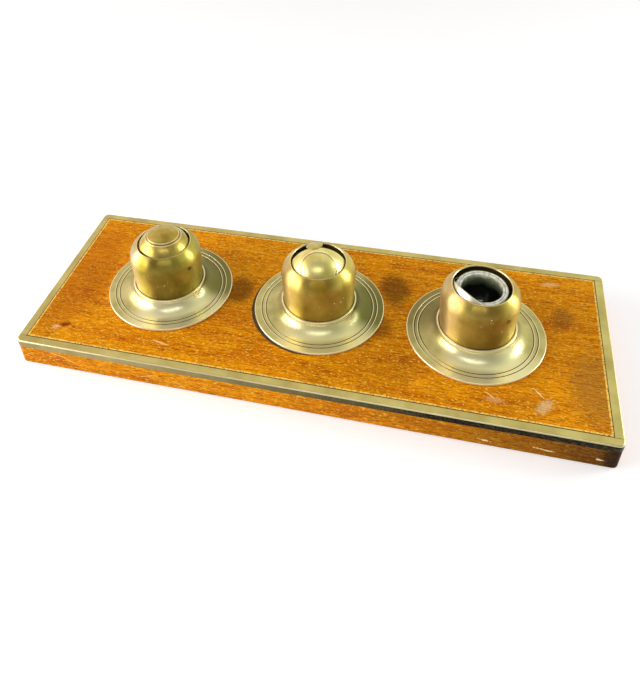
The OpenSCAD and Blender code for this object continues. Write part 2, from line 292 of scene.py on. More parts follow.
def put_finish(piece: bpy.types.Object, finish: bpy.types.Material) -> None:
    """Puts one material in all of a piece's slots."""
    if not piece.material_slots:
        piece.data.materials.append(finish)
    for slot in piece.material_slots:
        slot.material = finish


@dataclass(frozen=True)
class Place:
    """Where a piece's own axes are: the frame that its patterns are drawn in."""

    location: Vector
    rotation: Euler = field(default_factory=lambda: Euler((0, 0, 0)))

    def matrix(self) -> Matrix:
        """The place as a matrix in metres."""
        return Matrix.LocRotScale(self.location * MM, self.rotation, None)

    def coordinates(self, add: Adder) -> bpy.types.Node:
        """Adds the nodes that give the piece's own coordinates in millimetres."""
        return add("ShaderNodeMapping", {
            "Vector": add("ShaderNodeTexCoord").outputs["Object"], "Location": tuple(self.location * MM),
            "Rotation": tuple(self.rotation), "Scale": (MM, MM, MM)}, vector_type="TEXTURE")


ORIGIN = Place(Vector((0, 0, 0)))


@dataclass(frozen=True)
class Finish:
    """What all finishes share: a name, and the material that is made round their own nodes."""

    name: str

    def surface(self, add: Adder, place: Place) -> Values:
        """Adds the finish's own nodes.

        Args:
            add: What adds a node to the material's tree.
            place: The piece's own axes.

        Returns:
            Values and nodes for the shader's inputs.
        """
        raise NotImplementedError

    def material(self, place: Place = ORIGIN) -> bpy.types.Material:
        """Builds the material for a piece with its own axes at a place.

        Args:
            place: The piece's own axes.

        Returns:
            The material, which has one Principled shader.
        """
        material = bpy.data.materials.new(self.name)
        material.use_nodes = True
        material.node_tree.nodes.clear()
        add = partial(add_node, material.node_tree)
        shader = add("ShaderNodeBsdfPrincipled", self.surface(add, place))
        add("ShaderNodeOutputMaterial", {"Surface": shader})
        return material


@dataclass(frozen=True)
class Brass(Finish):
    """Turned or spun brass, once polished: a metal with soft blotches of tarnish and fine tool marks."""

    metal: str
    tarnish: str
    # The colour of painted shade in engraved lines and below the shaded height
    painted_shade: str
    roughness: float = 0.24
    tarnish_size: float = 14.0
    tool_marks: float = 0.3
    # Lines round the axis: the radius, half the width, and the strength of painted shade in an engraved line
    # (below 0) or of a painted highlight (above 0)
    rings: tuple[Triple, ...] = ()
    # How much of the surface is clean metal; the rest is a dull film of oxide, which scatters light
    clean_share: float = 1.0
    # How far the turning marks draw a highlight out across them
    brushed: float = 0.0
    # Sides painted lighter or darker for how light falls on them: the direction in degrees, the reach in
    # degrees where the painted side is full and where it ends, its colour and its strength
    patches: tuple[tuple[float, float, float, str, float], ...] = ()
    # Height below which the metal is painted dark as shade, how high that fades, and where along X it starts
    # with its first share and where it is full
    shaded_below: float = -100.0
    foot_fade: float = 0.5
    foot_share: float = 0.35
    foot_from: float = -1000.0
    foot_full: float = -999.0
    # Heights between which the arris is painted bright, with wear from handling and a painted highlight, and
    # how bright
    bright_low: float = -100.0
    bright_high: float = -99.0
    brightness: float = 0.8
    seed: float = 0.0

    def surface(self, add: Adder, place: Place) -> Values:
        """The metal with its tarnish, and over it the painted sides, the painted shade below, the arris and
        the rings.
        """
        here = place.coordinates(add)
        blotches = add("ShaderNodeTexNoise", {
            "Vector": here, "W": self.seed, "Scale": 1 / self.tarnish_size, "Detail": 3.0, "Roughness": 0.55},
            noise_dimensions="4D")
        spread = add("ShaderNodeValToRGB", {"Fac": blotches}, [(0.38, "#000000"), (0.66, "#FFFFFF")])
        colour = add("ShaderNodeMix", {
            MIX_FACTOR: spread, MIX_A: linear(self.metal), MIX_B: linear(self.tarnish)}, data_type="RGBA")
        # Radius and height together, so that tool marks run round flats and walls alike
        parts = add("ShaderNodeSeparateXYZ", {"Vector": here}).outputs
        flat = add("ShaderNodeCombineXYZ", {"X": parts[0], "Y": parts[1]})
        radius = add("ShaderNodeVectorMath", {0: flat}, operation="LENGTH")
        outward = add("ShaderNodeVectorMath", {0: flat}, operation="NORMALIZE")
        along = add("ShaderNodeMath", {0: radius, 1: parts[2]}, operation="SUBTRACT")
        marks = add("ShaderNodeTexNoise", {"W": along, "Scale": 1 / self.tool_marks, "Detail": 2.0},
                    noise_dimensions="1D")
        grain = add("ShaderNodeTexNoise", {"Vector": here, "Scale": 0.9, "Detail": 2.0})
        # Painted light and shade on whole sides: lighter where light falls, darker in shade
        for direction, full, end, tone, strength in self.patches:
            towards = Vector((1, 0, 0))
            towards.rotate(Euler((0, 0, math.radians(direction) - place.rotation.z)))
            facing = add("ShaderNodeVectorMath", {0: outward, 1: towards}, operation="DOT_PRODUCT")
            painted_side = add("ShaderNodeMapRange", {
                "Value": facing, "From Min": math.cos(math.radians(end)),
                "From Max": math.cos(math.radians(full)), "To Max": strength},
                interpolation_type="SMOOTHSTEP")
            colour = add("ShaderNodeMix", {MIX_FACTOR: painted_side, MIX_A: colour, MIX_B: linear(tone)},
                         data_type="RGBA")
        # Painted shade below a height, growing along X
        foot = add("ShaderNodeMapRange", {
            "Value": parts[2], "From Min": self.shaded_below, "From Max": self.shaded_below + self.foot_fade,
            "To Min": 1.0, "To Max": 0.0})
        reach = add("ShaderNodeMapRange", {
            "Value": parts[0], "From Min": self.foot_from, "From Max": self.foot_full,
            "To Min": self.foot_share})
        below = add("ShaderNodeMath", {0: foot, 1: reach}, operation="MULTIPLY")
        # The arris: wear from handling and a painted highlight
        arris = add("ShaderNodeMath", {
            0: parts[2], 1: (self.bright_low + self.bright_high) / 2,
            2: (self.bright_high - self.bright_low) / 2}, operation="COMPARE")
        layers = [(below, 1.0, self.painted_shade), (arris, self.brightness, WEAR_AND_HIGHLIGHT_BRASS)]
        # Rings of painted highlight on rims, beads and beside engraved lines, and of painted shade in the
        # lines
        for ring, half, strength in self.rings:
            near = add("ShaderNodeMath", {0: radius, 1: ring, 2: half}, operation="COMPARE")
            layers.append((near, abs(strength), WEAR_AND_HIGHLIGHT_BRASS if strength > 0 else self.painted_shade))
        for where, strength, tone in layers:
            uneven = add("ShaderNodeMapRange", {
                "Value": grain, "From Min": 0.25, "From Max": 0.6,
                "To Min": 0.9 * strength, "To Max": strength})
            amount = add("ShaderNodeMath", {0: where, 1: uneven}, operation="MULTIPLY")
            colour = add("ShaderNodeMix", {MIX_FACTOR: amount, MIX_A: colour, MIX_B: linear(tone)},
                         data_type="RGBA")
        rough = add("ShaderNodeMapRange", {
            "Value": blotches, "From Min": 0.35, "From Max": 0.68,
            "To Min": self.roughness - 0.04, "To Max": self.roughness + 0.08})
        bump = add("ShaderNodeBump", {"Height": marks, "Strength": 0.05, "Distance": 0.02 * MM})
        values = {"Base Color": colour, "Metallic": self.clean_share, "Roughness": rough, "Normal": bump}
        if self.brushed:
            # Across the turning marks: up a wall and inwards on a flat
            across = add("ShaderNodeVectorMath", {0: (0.0, 0.0, 1.0), 1: outward}, operation="SUBTRACT")
            turned = add("ShaderNodeVectorRotate", {"Vector": across, "Angle": place.rotation.z},
                         rotation_type="Z_AXIS")
            values |= {"Anisotropic": self.brushed, "Tangent": turned}
        return values


@dataclass(frozen=True)
class MarkAndShade:
    """A worn or stained spot on the board, or a painted shadow: an ellipsoid that changes the wood's colour.
    """

    centre: Triple
    reach: Triple
    turn: float
    colour: str
    strength: float
    # How broken up the spot is, from 0 for a plain stain to 1 for a scuff of fine scratches
    broken: float = 0.5
    # Its slope on an upright face, in degrees
    tilt: float = 0.0


@dataclass(frozen=True)
class Mahogany(Finish):
    """Figured mahogany under old french polish: warm orange with short dark dashes along the grain."""

    light: str = "#F4A402"
    warm: str = "#D67E02"
    deep: str = "#703C02"
    # The colour of the painted glints along the grain
    bright: str = "#FFCC48"
    marks_and_shade: tuple[MarkAndShade, ...] = ()

    def surface(self, add: Adder, place: Place) -> Values:
        """The wood's figure, fibres, pores and painted glints, with the marks and painted shadows over them.
        """
        here = place.coordinates(add)

        def streaks(scale: Triple, values: Values, start: Triple = (0.0, 0.0, 0.0)) -> bpy.types.Node:
            """Noise drawn out along the grain, which runs along X, by a scale for each axis."""
            at = add("ShaderNodeMapping", {"Vector": here, "Location": start, "Scale": scale})
            return add("ShaderNodeTexNoise", {"Vector": at, "Scale": 1.0} | values)

        # A figure of 9 mm bands, fibres of 0.6 mm, dark pores and painted glints: bright dashes that stand in
        # for highlights on the grain
        figure = streaks((0.012, 0.11, 0.11), {"Detail": 4.0, "Roughness": 0.6, "Distortion": 0.6})
        fibre = streaks((0.15, 1.8, 1.8), {"Detail": 3.0, "Roughness": 0.7})
        pores = streaks((0.34, 2.2, 2.2), {"Detail": 1.0})
        glints = streaks((0.5, 1.2, 1.2), {"Detail": 2.0}, (40.0, 70.0, 10.0))
        clouds = add("ShaderNodeTexNoise", {
            "Vector": here, "Scale": 1 / 42, "Detail": 3.0, "Roughness": 0.55})
        body = add("ShaderNodeValToRGB", {"Fac": figure},
                   [(0.34, self.warm), (0.54, self.light), (0.70, self.warm)])
        dash = add("ShaderNodeValToRGB", {"Fac": fibre},
                   [(0.35, "#9C6A1A"), (0.48, "#F2E29C"), (0.60, "#FFFFD8")])
        colour = add("ShaderNodeMix", {MIX_FACTOR: 0.85, MIX_A: body, MIX_B: dash},
                     data_type="RGBA", blend_type="MULTIPLY")
        amounts = []
        for pattern, low, high, most in ((clouds, 0.50, 0.74, 0.34), (pores, 0.58, 0.70, 0.6),
                                         (glints, 0.57, 0.68, 0.75)):
            amounts.append(add("ShaderNodeMapRange", {
                "Value": pattern, "From Min": low, "From Max": high, "To Max": most}))
        for amount, tone in zip(amounts, (self.deep, self.deep, self.bright)):
            colour = add("ShaderNodeMix", {MIX_FACTOR: amount, MIX_A: colour, MIX_B: linear(tone)},
                         data_type="RGBA")
        fine = add("ShaderNodeTexNoise", {"Vector": here, "Scale": 0.9, "Detail": 4.0})
        # Stains, scuffs, chips and painted shadows
        for spot in self.marks_and_shade:
            at = add("ShaderNodeMapping", {
                "Vector": here, "Location": spot.centre, "Scale": spot.reach,
                "Rotation": (0, math.radians(spot.tilt), math.radians(spot.turn))}, vector_type="TEXTURE")
            distance = add("ShaderNodeVectorMath", {0: at}, operation="LENGTH")
            ragged = add("ShaderNodeMath", {0: fine, 1: 2.4 * spot.broken, 2: distance},
                         operation="MULTIPLY_ADD")
            inside = add("ShaderNodeMapRange", {
                "Value": ragged, "From Min": 0.4 + 1.2 * spot.broken, "From Max": 1.0 + 1.2 * spot.broken,
                "To Min": spot.strength, "To Max": 0.0}, interpolation_type="SMOOTHSTEP")
            colour = add("ShaderNodeMix", {MIX_FACTOR: inside, MIX_A: colour, MIX_B: linear(spot.colour)},
                         data_type="RGBA")
        relief = add("ShaderNodeMath", {0: fibre, 1: amounts[1]}, operation="SUBTRACT")
        bump = add("ShaderNodeBump", {"Height": relief, "Strength": 0.35, "Distance": 0.08 * MM})
        return {"Base Color": colour, "Roughness": 0.5, "Specular IOR Level": 0.05, "Coat Weight": 0.03,
                "Coat Roughness": 0.2, "Normal": bump}


@dataclass(frozen=True)
class Boxwood(Finish):
    """Boxwood line under the board's polish: pale yellow, nearly plain, with dirt along the brass."""

    half_length: float
    half_width: float
    pale: str = "#FFD45C"
    worn: str = "#B8740C"
    dirt: str = "#2E1C04"
    # Width of the dirty joint beside the brass
    joint: float = 0.45

    def surface(self, add: Adder, place: Place) -> Values:
        """The pale wood, and the dirty joint along its outer edge."""
        here = place.coordinates(add)
        grain = add("ShaderNodeTexNoise", {"Vector": here, "Scale": 0.7, "Detail": 4.0, "Roughness": 0.7})
        wood = add("ShaderNodeValToRGB", {"Fac": grain}, [(0.40, self.worn), (0.52, self.pale)])
        size = add("ShaderNodeVectorMath", {0: here}, operation="ABSOLUTE")
        inwards = add("ShaderNodeVectorMath", {
            0: size, 1: (self.half_length - self.joint, self.half_width - self.joint, 0.0)},
            operation="SUBTRACT")
        parts = add("ShaderNodeSeparateXYZ", {"Vector": inwards}).outputs
        nearest = add("ShaderNodeMath", {0: parts[0], 1: parts[1]}, operation="MAXIMUM")
        beside = add("ShaderNodeMath", {0: nearest, 1: 0.0}, operation="GREATER_THAN")
        colour = add("ShaderNodeMix", {MIX_FACTOR: beside, MIX_A: wood, MIX_B: linear(self.dirt)},
                     data_type="RGBA")
        bump = add("ShaderNodeBump", {"Height": grain, "Strength": 0.3, "Distance": 0.1 * MM})
        return {"Base Color": colour, "Roughness": 0.4, "Normal": bump}


@dataclass(frozen=True)
class Baize(Finish):
    """Green wool baize: a felted cloth with a short nap, matt with a faint sheen at grazing angles."""

    wool: str = "#2F5A38"
    shade: str = "#1F3F27"

    def surface(self, add: Adder, place: Place) -> Values:
        """The nap, darker where it is worn."""
        here = place.coordinates(add)
        nap = add("ShaderNodeTexNoise", {"Vector": here, "Scale": 2.2, "Detail": 6.0, "Roughness": 0.75})
        wear = add("ShaderNodeTexNoise", {"Vector": here, "Scale": 1 / 30, "Detail": 2.0})
        mixed = add("ShaderNodeMath", {0: wear, 1: 0.5, 2: nap}, operation="MULTIPLY_ADD")
        colour = add("ShaderNodeValToRGB", {"Fac": mixed}, [(0.55, self.shade), (0.95, self.wool)])
        bump = add("ShaderNodeBump", {"Height": nap, "Strength": 0.8, "Distance": 0.25 * MM})
        return {"Base Color": colour, "Roughness": 0.95, "Sheen Weight": 0.4, "Normal": bump}


@dataclass(frozen=True)
class Leather(Finish):
    """Thin dark hide under each flange: nearly black, slightly glossy where the brass has rubbed it."""

    hide: str = "#2A200C"
    worn: str = "#4E3C16"

    def surface(self, add: Adder, place: Place) -> Values:
        """The hide's grain, browner where it is rubbed."""
        here = place.coordinates(add)
        grain = add("ShaderNodeTexVoronoi", {"Vector": here, "Scale": 1.4})
        patches = add("ShaderNodeTexNoise", {"Vector": here, "Scale": 0.25, "Detail": 3.0})
        colour = add("ShaderNodeValToRGB", {"Fac": patches}, [(0.45, self.hide), (0.70, self.worn)])
        bump = add("ShaderNodeBump", {"Height": grain, "Strength": 0.5, "Distance": 0.1 * MM})
        return {"Base Color": colour, "Roughness": 0.6, "Normal": bump}


@dataclass(frozen=True)
class Glaze(Finish):
    """White tin glaze, glossy and faintly green, with dried ink and painted shade inside the bowl."""

    white: str = "#E6EBDC"
    crackle: str = "#C9C4AE"
    wash: str = "#A9AE90"
    dark_wash: str = "#596048"
    ink: str = "#0E100A"
    # The dried ink and painted shade lie inside this radius and below this height, and are full at this depth
    ink_shade_radius: float = 12.6
    ink_shade_height: float = 39.6
    ink_shade_depth: float = 15.0
    # The most that its uneven runs lower it
    ink_shade_runs: float = 5.0
    # The thin grey line drawn on the rim's inner step
    line_radius: float = 13.4
    line_half: float = 0.16
    line_strength: float = 0.75

    def surface(self, add: Adder, place: Place) -> Values:
        """The glaze with its grey line, and the ink and painted shade that darken down the bowl."""
        here = place.coordinates(add)
        mottle = add("ShaderNodeTexNoise", {"Vector": here, "Scale": 0.35, "Detail": 4.0})
        glaze = add("ShaderNodeValToRGB", {"Fac": mottle}, [(0.42, self.crackle), (0.56, self.white)])
        parts = add("ShaderNodeSeparateXYZ", {"Vector": here}).outputs
        flat = add("ShaderNodeCombineXYZ", {"X": parts[0], "Y": parts[1]})
        radius = add("ShaderNodeVectorMath", {0: flat}, operation="LENGTH")
        inside = add("ShaderNodeMath", {0: radius, 1: self.ink_shade_radius}, operation="LESS_THAN")
        runs = add("ShaderNodeTexNoise", {"Vector": here, "Scale": 0.22, "Detail": 3.0, "Roughness": 0.6})
        level = add("ShaderNodeMath", {0: runs, 1: self.ink_shade_runs, 2: parts[2]}, operation="MULTIPLY_ADD")
        depth = add("ShaderNodeMapRange", {
            "Value": level, "From Min": self.ink_shade_height - self.ink_shade_depth, "From Max": self.ink_shade_height,
            "To Min": 1.0, "To Max": 0.0})
        ink_and_shade = add("ShaderNodeMath", {0: depth, 1: inside}, operation="MULTIPLY")
        # Dried ink and painted shade, darker down the bowl
        stain = add("ShaderNodeValToRGB", {"Fac": ink_and_shade},
                    [(0.0, self.wash), (0.35, self.dark_wash), (0.62, self.ink)])
        edge = add("ShaderNodeMapRange", {"Value": ink_and_shade, "From Max": 0.22})
        line = add("ShaderNodeMath", {0: radius, 1: self.line_radius, 2: self.line_half}, operation="COMPARE")
        lined = add("ShaderNodeMath", {0: line, 1: self.line_strength}, operation="MULTIPLY")
        glaze = add("ShaderNodeMix", {MIX_FACTOR: lined, MIX_A: glaze, MIX_B: linear(self.dark_wash)},
                    data_type="RGBA")
        colour = add("ShaderNodeMix", {MIX_FACTOR: edge, MIX_A: glaze, MIX_B: stain}, data_type="RGBA")
        bump = add("ShaderNodeBump", {"Height": mottle, "Strength": 0.2, "Distance": 0.1 * MM})
        return {"Base Color": colour, "Roughness": 0.14, "IOR": 1.52, "Normal": bump}


@dataclass(frozen=True)
class Dust(Finish):
    """Dust and tiny chips: pale matt grains that catch the light on the polish and the brass."""

    colour: str
    roughness: float = 0.5

    def surface(self, add: Adder, place: Place) -> Values:
        """Grains of one colour, some of them darker."""
        tone = add("ShaderNodeTexNoise", {"Vector": place.coordinates(add), "Scale": 0.6})
        colour = add("ShaderNodeValToRGB", {"Fac": tone}, [(0.35, "#8A7A58"), (0.60, self.colour)])
        return {"Base Color": colour, "Roughness": self.roughness}


def seen_ray(add: Adder, other: float, seen: float) -> bpy.types.Node:
    """Adds the nodes that tell camera, mirror and glass rays from the rays that light things.

    Args:
        add: What adds a node to the tree.
        other: The value for rays that light things.
        seen: The value for rays that are seen.

    Returns:
        The node that gives the value.
    """
    rays = add("ShaderNodeLightPath").outputs
    first = add("ShaderNodeMath", {0: rays["Is Camera Ray"], 1: rays["Is Glossy Ray"]}, operation="MAXIMUM")
    either = add("ShaderNodeMath", {0: first, 1: rays["Is Transmission Ray"]}, operation="MAXIMUM")
    return add("ShaderNodeMapRange", {"Value": either, "To Min": other, "To Max": seen})


@dataclass(frozen=True)
class PaleFloor(Finish):
    """Matt floor that shows white to the eye and in the metal, and keeps the inkstand's shadow."""

    colour: str = "#E8E8E8"
    glow: float = 0.36

    def surface(self, add: Adder, place: Place) -> Values:
        """A plain matt colour, with a glow that lights nothing."""
        return {"Base Color": linear(self.colour), "Roughness": 0.9, "Specular IOR Level": 0.0,
                "Emission Color": linear("#FFFFFF"), "Emission Strength": seen_ray(add, 0.0, self.glow)}


class Maker:
    """A Geometry Nodes tree that makes pieces from loose points, with named inputs."""

    def __init__(self, name: str, source: str, inputs: dict[str, str]) -> None:
        """Makes the tree and its interface.

        Args:
            name: The tree's name.
            source: What its own geometry, the loose points, is called.
            inputs: The kinds of its other inputs by name.
        """
        self.tree = bpy.data.node_groups.new(name, "GeometryNodeTree")
        face = self.tree.interface
        face.new_socket(source, in_out="INPUT", socket_type="NodeSocketGeometry")
        for key, kind in (inputs | {"Finish": "Material"}).items():
            face.new_socket(key, in_out="INPUT", socket_type=f"NodeSocket{kind}")
        face.new_socket("Piece", in_out="OUTPUT", socket_type="NodeSocketGeometry")
        self.add = partial(add_node, self.tree)
        self.given = self.add("NodeGroupInput").outputs

    def end_with(self, geometry: bpy.types.Node) -> None:
        """Ends the tree with one real mesh that has its material."""
        real = self.add("GeometryNodeRealizeInstances", {"Geometry": geometry})
        finished = self.add("GeometryNodeSetMaterial", {"Geometry": real, "Material": self.given["Finish"]})
        self.add("NodeGroupOutput", {"Piece": finished})

    def make(
        self, name: str, points: list[Vector], values: dict[str, object], place: Matrix | None = None,
    ) -> bpy.types.Object:
        """Makes one piece.

        Args:
            name: The piece's name.
            points: The loose points in metres.
            values: The values of the tree's inputs by name.
            place: Where the piece goes, in metres.

        Returns:
            The piece, as a plain mesh.
        """
        piece = mesh_object(name, points, [])
        modifier = piece.modifiers.new(self.tree.name, "NODES")
        modifier.node_group = self.tree
        for item in self.tree.interface.items_tree:
            if item.item_type == "SOCKET" and item.in_out == "INPUT" and item.name in values:
                modifier[item.identifier] = values[item.name]
        settle(piece, place)
        return piece


@dataclass(frozen=True)
class Dents:
    """Soft dents in turned metal."""

    depth: float = 0.0
    size: float = 12.0
    # The height above which they start
    above: float = -100.0
    # What sets one piece's dents apart from another's
    seed: float = 0.0


class Turning(Maker):
    """A lathe: it turns a profile about the Z axis and dents the metal softly.

    The loose points are the profile, with X as the radius and Z as the height.
    """

    merge: float = 0.002
    # Faces that meet at more than this angle, in degrees, keep a sharp edge between them
    crease: float = 32.0
    # How far above their lower limit the dents reach their full depth
    dent_fade: float = 4.0

    def __init__(self) -> None:
        """Builds the tree once for every turned piece."""
        super().__init__("Turning", "Profile", {
            "Segments": "Int", "Dent Depth": "Float", "Dent Size": "Float", "Dents Above": "Float",
            "Seed": "Float"})
        add, given = self.add, self.given
        count = add("GeometryNodeAttributeDomainSize", {"Geometry": given["Profile"]}, component="MESH")
        columns = add("FunctionNodeIntegerMath", {0: given["Segments"], 1: 1}, operation="ADD")
        grid = add("GeometryNodeMeshGrid", {
            "Vertices X": count.outputs["Point Count"], "Vertices Y": columns})
        index = add("GeometryNodeInputIndex")
        row = add("FunctionNodeIntegerMath", {0: index, 1: columns}, operation="DIVIDE_FLOOR")
        column = add("FunctionNodeIntegerMath", {0: index, 1: columns}, operation="MODULO")
        sample = add("GeometryNodeSampleIndex", {
            "Geometry": given["Profile"], "Value": add("GeometryNodeInputPosition"), "Index": row},
            data_type="FLOAT_VECTOR", domain="POINT")
        share = add("ShaderNodeMath", {0: column, 1: given["Segments"]}, operation="DIVIDE")
        angle = add("ShaderNodeMath", {0: share, 1: -2 * math.pi}, operation="MULTIPLY")
        turned = add("ShaderNodeVectorRotate", {"Vector": sample, "Angle": angle}, rotation_type="Z_AXIS")
        shaped = add("GeometryNodeSetPosition", {"Geometry": grid, "Position": turned})
        welded = add("GeometryNodeMergeByDistance", {"Geometry": shaped, "Distance": self.merge * MM})
        smooth = add("GeometryNodeSetShadeSmooth", {"Geometry": self._dented(welded), "Shade Smooth": True},
                     domain="FACE")
        folded = add("ShaderNodeMath", {
            0: add("GeometryNodeInputMeshEdgeAngle"), 1: math.radians(self.crease)}, operation="GREATER_THAN")
        self.end_with(add("GeometryNodeSetShadeSmooth", {
            "Geometry": smooth, "Selection": folded, "Shade Smooth": False}, domain="EDGE"))

    def _dented(self, geometry: bpy.types.Node) -> bpy.types.Node:
        """Adds the nodes that push the surface in and out by slow noise.

        Args:
            geometry: What gives the turned mesh.

        Returns:
            What gives the dented mesh.
        """
        add, given = self.add, self.given
        position = add("GeometryNodeInputPosition")
        scale = add("ShaderNodeMath", {0: 1.0, 1: given["Dent Size"]}, operation="DIVIDE")
        hills = add("ShaderNodeTexNoise", {
            "Vector": position, "W": given["Seed"], "Scale": scale, "Detail": 1.0}, noise_dimensions="4D")
        level = add("ShaderNodeMath", {0: hills, 1: 0.5}, operation="SUBTRACT")
        height = add("ShaderNodeSeparateXYZ", {"Vector": position}).outputs[2]
        full = add("ShaderNodeMath", {0: given["Dents Above"], 1: self.dent_fade * MM}, operation="ADD")
        fade = add("ShaderNodeMapRange", {
            "Value": height, "From Min": given["Dents Above"], "From Max": full},
            interpolation_type="SMOOTHSTEP")
        amount = add("ShaderNodeMath", {0: level, 1: given["Dent Depth"]}, operation="MULTIPLY")
        faded = add("ShaderNodeMath", {0: amount, 1: fade}, operation="MULTIPLY")
        push = add("ShaderNodeVectorMath", {0: add("GeometryNodeInputNormal"), "Scale": faded},
                   operation="SCALE")
        return add("GeometryNodeSetPosition", {"Geometry": geometry, "Offset": push})

    def turn(
        self, name: str, profile: list[Point], finish: bpy.types.Material, place: Matrix,
        segments: int, dents: Dents = Dents(),
    ) -> bpy.types.Object:
        """Turns one piece.

        Args:
            name: The piece's name.
            profile: Its closed profile, anticlockwise in radius and height, in millimetres.
            finish: Its material.
            place: Where the piece goes, in metres.
            segments: How many sides a full turn has.
            dents: Its soft dents.

        Returns:
            The piece, as a plain mesh.
        """
        return self.make(name, [Vector((r * MM, 0, z * MM)) for r, z in profile], {
            "Segments": segments, "Dent Depth": dents.depth * MM, "Dent Size": dents.size * MM,
            "Dents Above": dents.above * MM, "Seed": dents.seed, "Finish": finish}, place)


class Sprinkling(Maker):
    """Puts a small grain on each of the loose points."""

    def __init__(self) -> None:
        """Builds the tree once for every sprinkling."""
        super().__init__("Sprinkling", "Places", {"Smallest": "Float", "Largest": "Float", "Seed": "Int"})
        add, given = self.add, self.given
        spots = add("GeometryNodeMeshToPoints", {"Mesh": given["Places"]})
        grain = add("GeometryNodeMeshIcoSphere", {"Radius": 1.0, "Subdivisions": 2})
        size = add("FunctionNodeRandomValue", {
            2: given["Smallest"], 3: given["Largest"], "Seed": given["Seed"]}, data_type="FLOAT")
        spin = add("FunctionNodeRandomValue", {
            0: (0.0, 0.0, 0.0), 1: (math.tau, math.tau, math.tau), "Seed": given["Seed"]},
            data_type="FLOAT_VECTOR")
        self.end_with(add("GeometryNodeInstanceOnPoints", {
            "Points": spots, "Instance": grain, "Rotation": spin, "Scale": size}))

    def sprinkle(
        self, name: str, places: list[Vector], finish: bpy.types.Material, radii: Pair, seed: int,
    ) -> bpy.types.Object:
        """Makes one piece of many grains.

        Args:
            name: The piece's name.
            places: Where the grains are, in metres.
            finish: Their material.
            radii: The least and the greatest radius of a grain.
            seed: What fixes their sizes and turns.

        Returns:
            The grains, as one plain mesh.
        """
        return self.make(name, places, {
            "Smallest": radii[0] * MM, "Largest": radii[1] * MM, "Seed": seed, "Finish": finish})


# The edging's side legs are painted dark below 18.75 mm, more to the right: painted shade where the light
# from the left falls off, and a painted reflection of the dark room; its arris carries wear and a painted
# highlight
EDGING_BRASS = Brass("Edging brass", "#D2C888", "#B4A86C", "#120A02", 0.32, 20.0, 0.5, shaded_below=18.75,
                     foot_from=-150.0, foot_full=80.0, bright_low=19.05, bright_high=19.65)
# Flanges: rings of painted highlight on the rim, the bead and beside the engraved lines, and painted shade in
# the lines
FLANGE_BRASS = {
    side: Brass(f"Turned flange brass {side.value}", "#CEC68A", "#A8A268", "#2A220C", 0.3, 16.0, 0.35,
                ((41.5, 0.3, 0.9), (37.5, 0.26, 0.8), (36.95, 0.26, -0.85), (34.9, 0.26, 0.8),
                 (34.35, 0.26, -0.85), (23.4, 0.5, 0.8)), 0.74, 0.35, patches)
    # Painted sides: dark painted shade on the side that the bell and its neighbour shadow, and a pale painted
    # highlight on the front
    for side, patches in (
        (Side.LEFT, ((35, 20, 65, "#6A6A34", 0.9), (-62, 25, 65, "#F4F0C6", 0.9))),
        (Side.MIDDLE, ((5, 20, 65, "#626428", 0.88), (-70, 25, 60, "#F2EEB8", 0.9))),
        (Side.RIGHT, ((155, 15, 60, "#6E6230", 0.75), (-75, 25, 60, "#F2EEC0", 0.9))),
    )
}
INNER_BRASS = Brass("Unpolished brass", "#B39A5A", "#8A7440", "#3A2C10", 0.38, 8.0, 0.3)
THUMB_BRASS = Brass("Thumb pad brass", "#D8CA86", "#B4A45C", "#5A4A1C", 0.3, 6.0, 0.3)
# Bells: a painted highlight on the rolled mouth, a pale painted highlight down the left side and a dark
# painted reflection across the front
BELL_BRASS = {
    side: Brass(f"Spun bell brass {side.value}", metal, tarnish, "#4A3A14", 0.36, 15.0, 0.4,
                ((17.2, 0.5, 0.7),), 0.95, 0.88,
                ((-165, 20, 55, "#F2DCB8", pale), (-76, 5, 38, centre, 0.5)), seed=1.0 + i)
    for i, (side, metal, tarnish, pale, centre) in enumerate((
        (Side.LEFT, "#C2B65A", "#8C8228", 0.5, "#6E4E04"),
        (Side.MIDDLE, "#D6C468", "#AA9438", 0.3, "#946408"),
        (Side.RIGHT, "#D0BA62", "#A08A32", 0.35, "#7E5004"),
    ))
}
# Lids: painted highlights beside the engraved rings and painted shade in them
LID_BRASS = {
    side: Brass(f"Lid brass {side.value}", metal, tarnish, "#3C2E0C", 0.32, 9.0, 0.35,
                ((10.2, 0.3, 0.7), (10.9, 0.28, -0.55), (11.65, 0.3, 0.7)), 0.85, seed=4.0 + i)
    for i, (side, metal, tarnish) in enumerate((
        (Side.LEFT, "#C6B45E", "#A0843A"),
        (Side.MIDDLE, "#F0E6A0", "#D0C470"),
        (Side.RIGHT, "#E6E4D2", "#B8B496"),
    ))
}
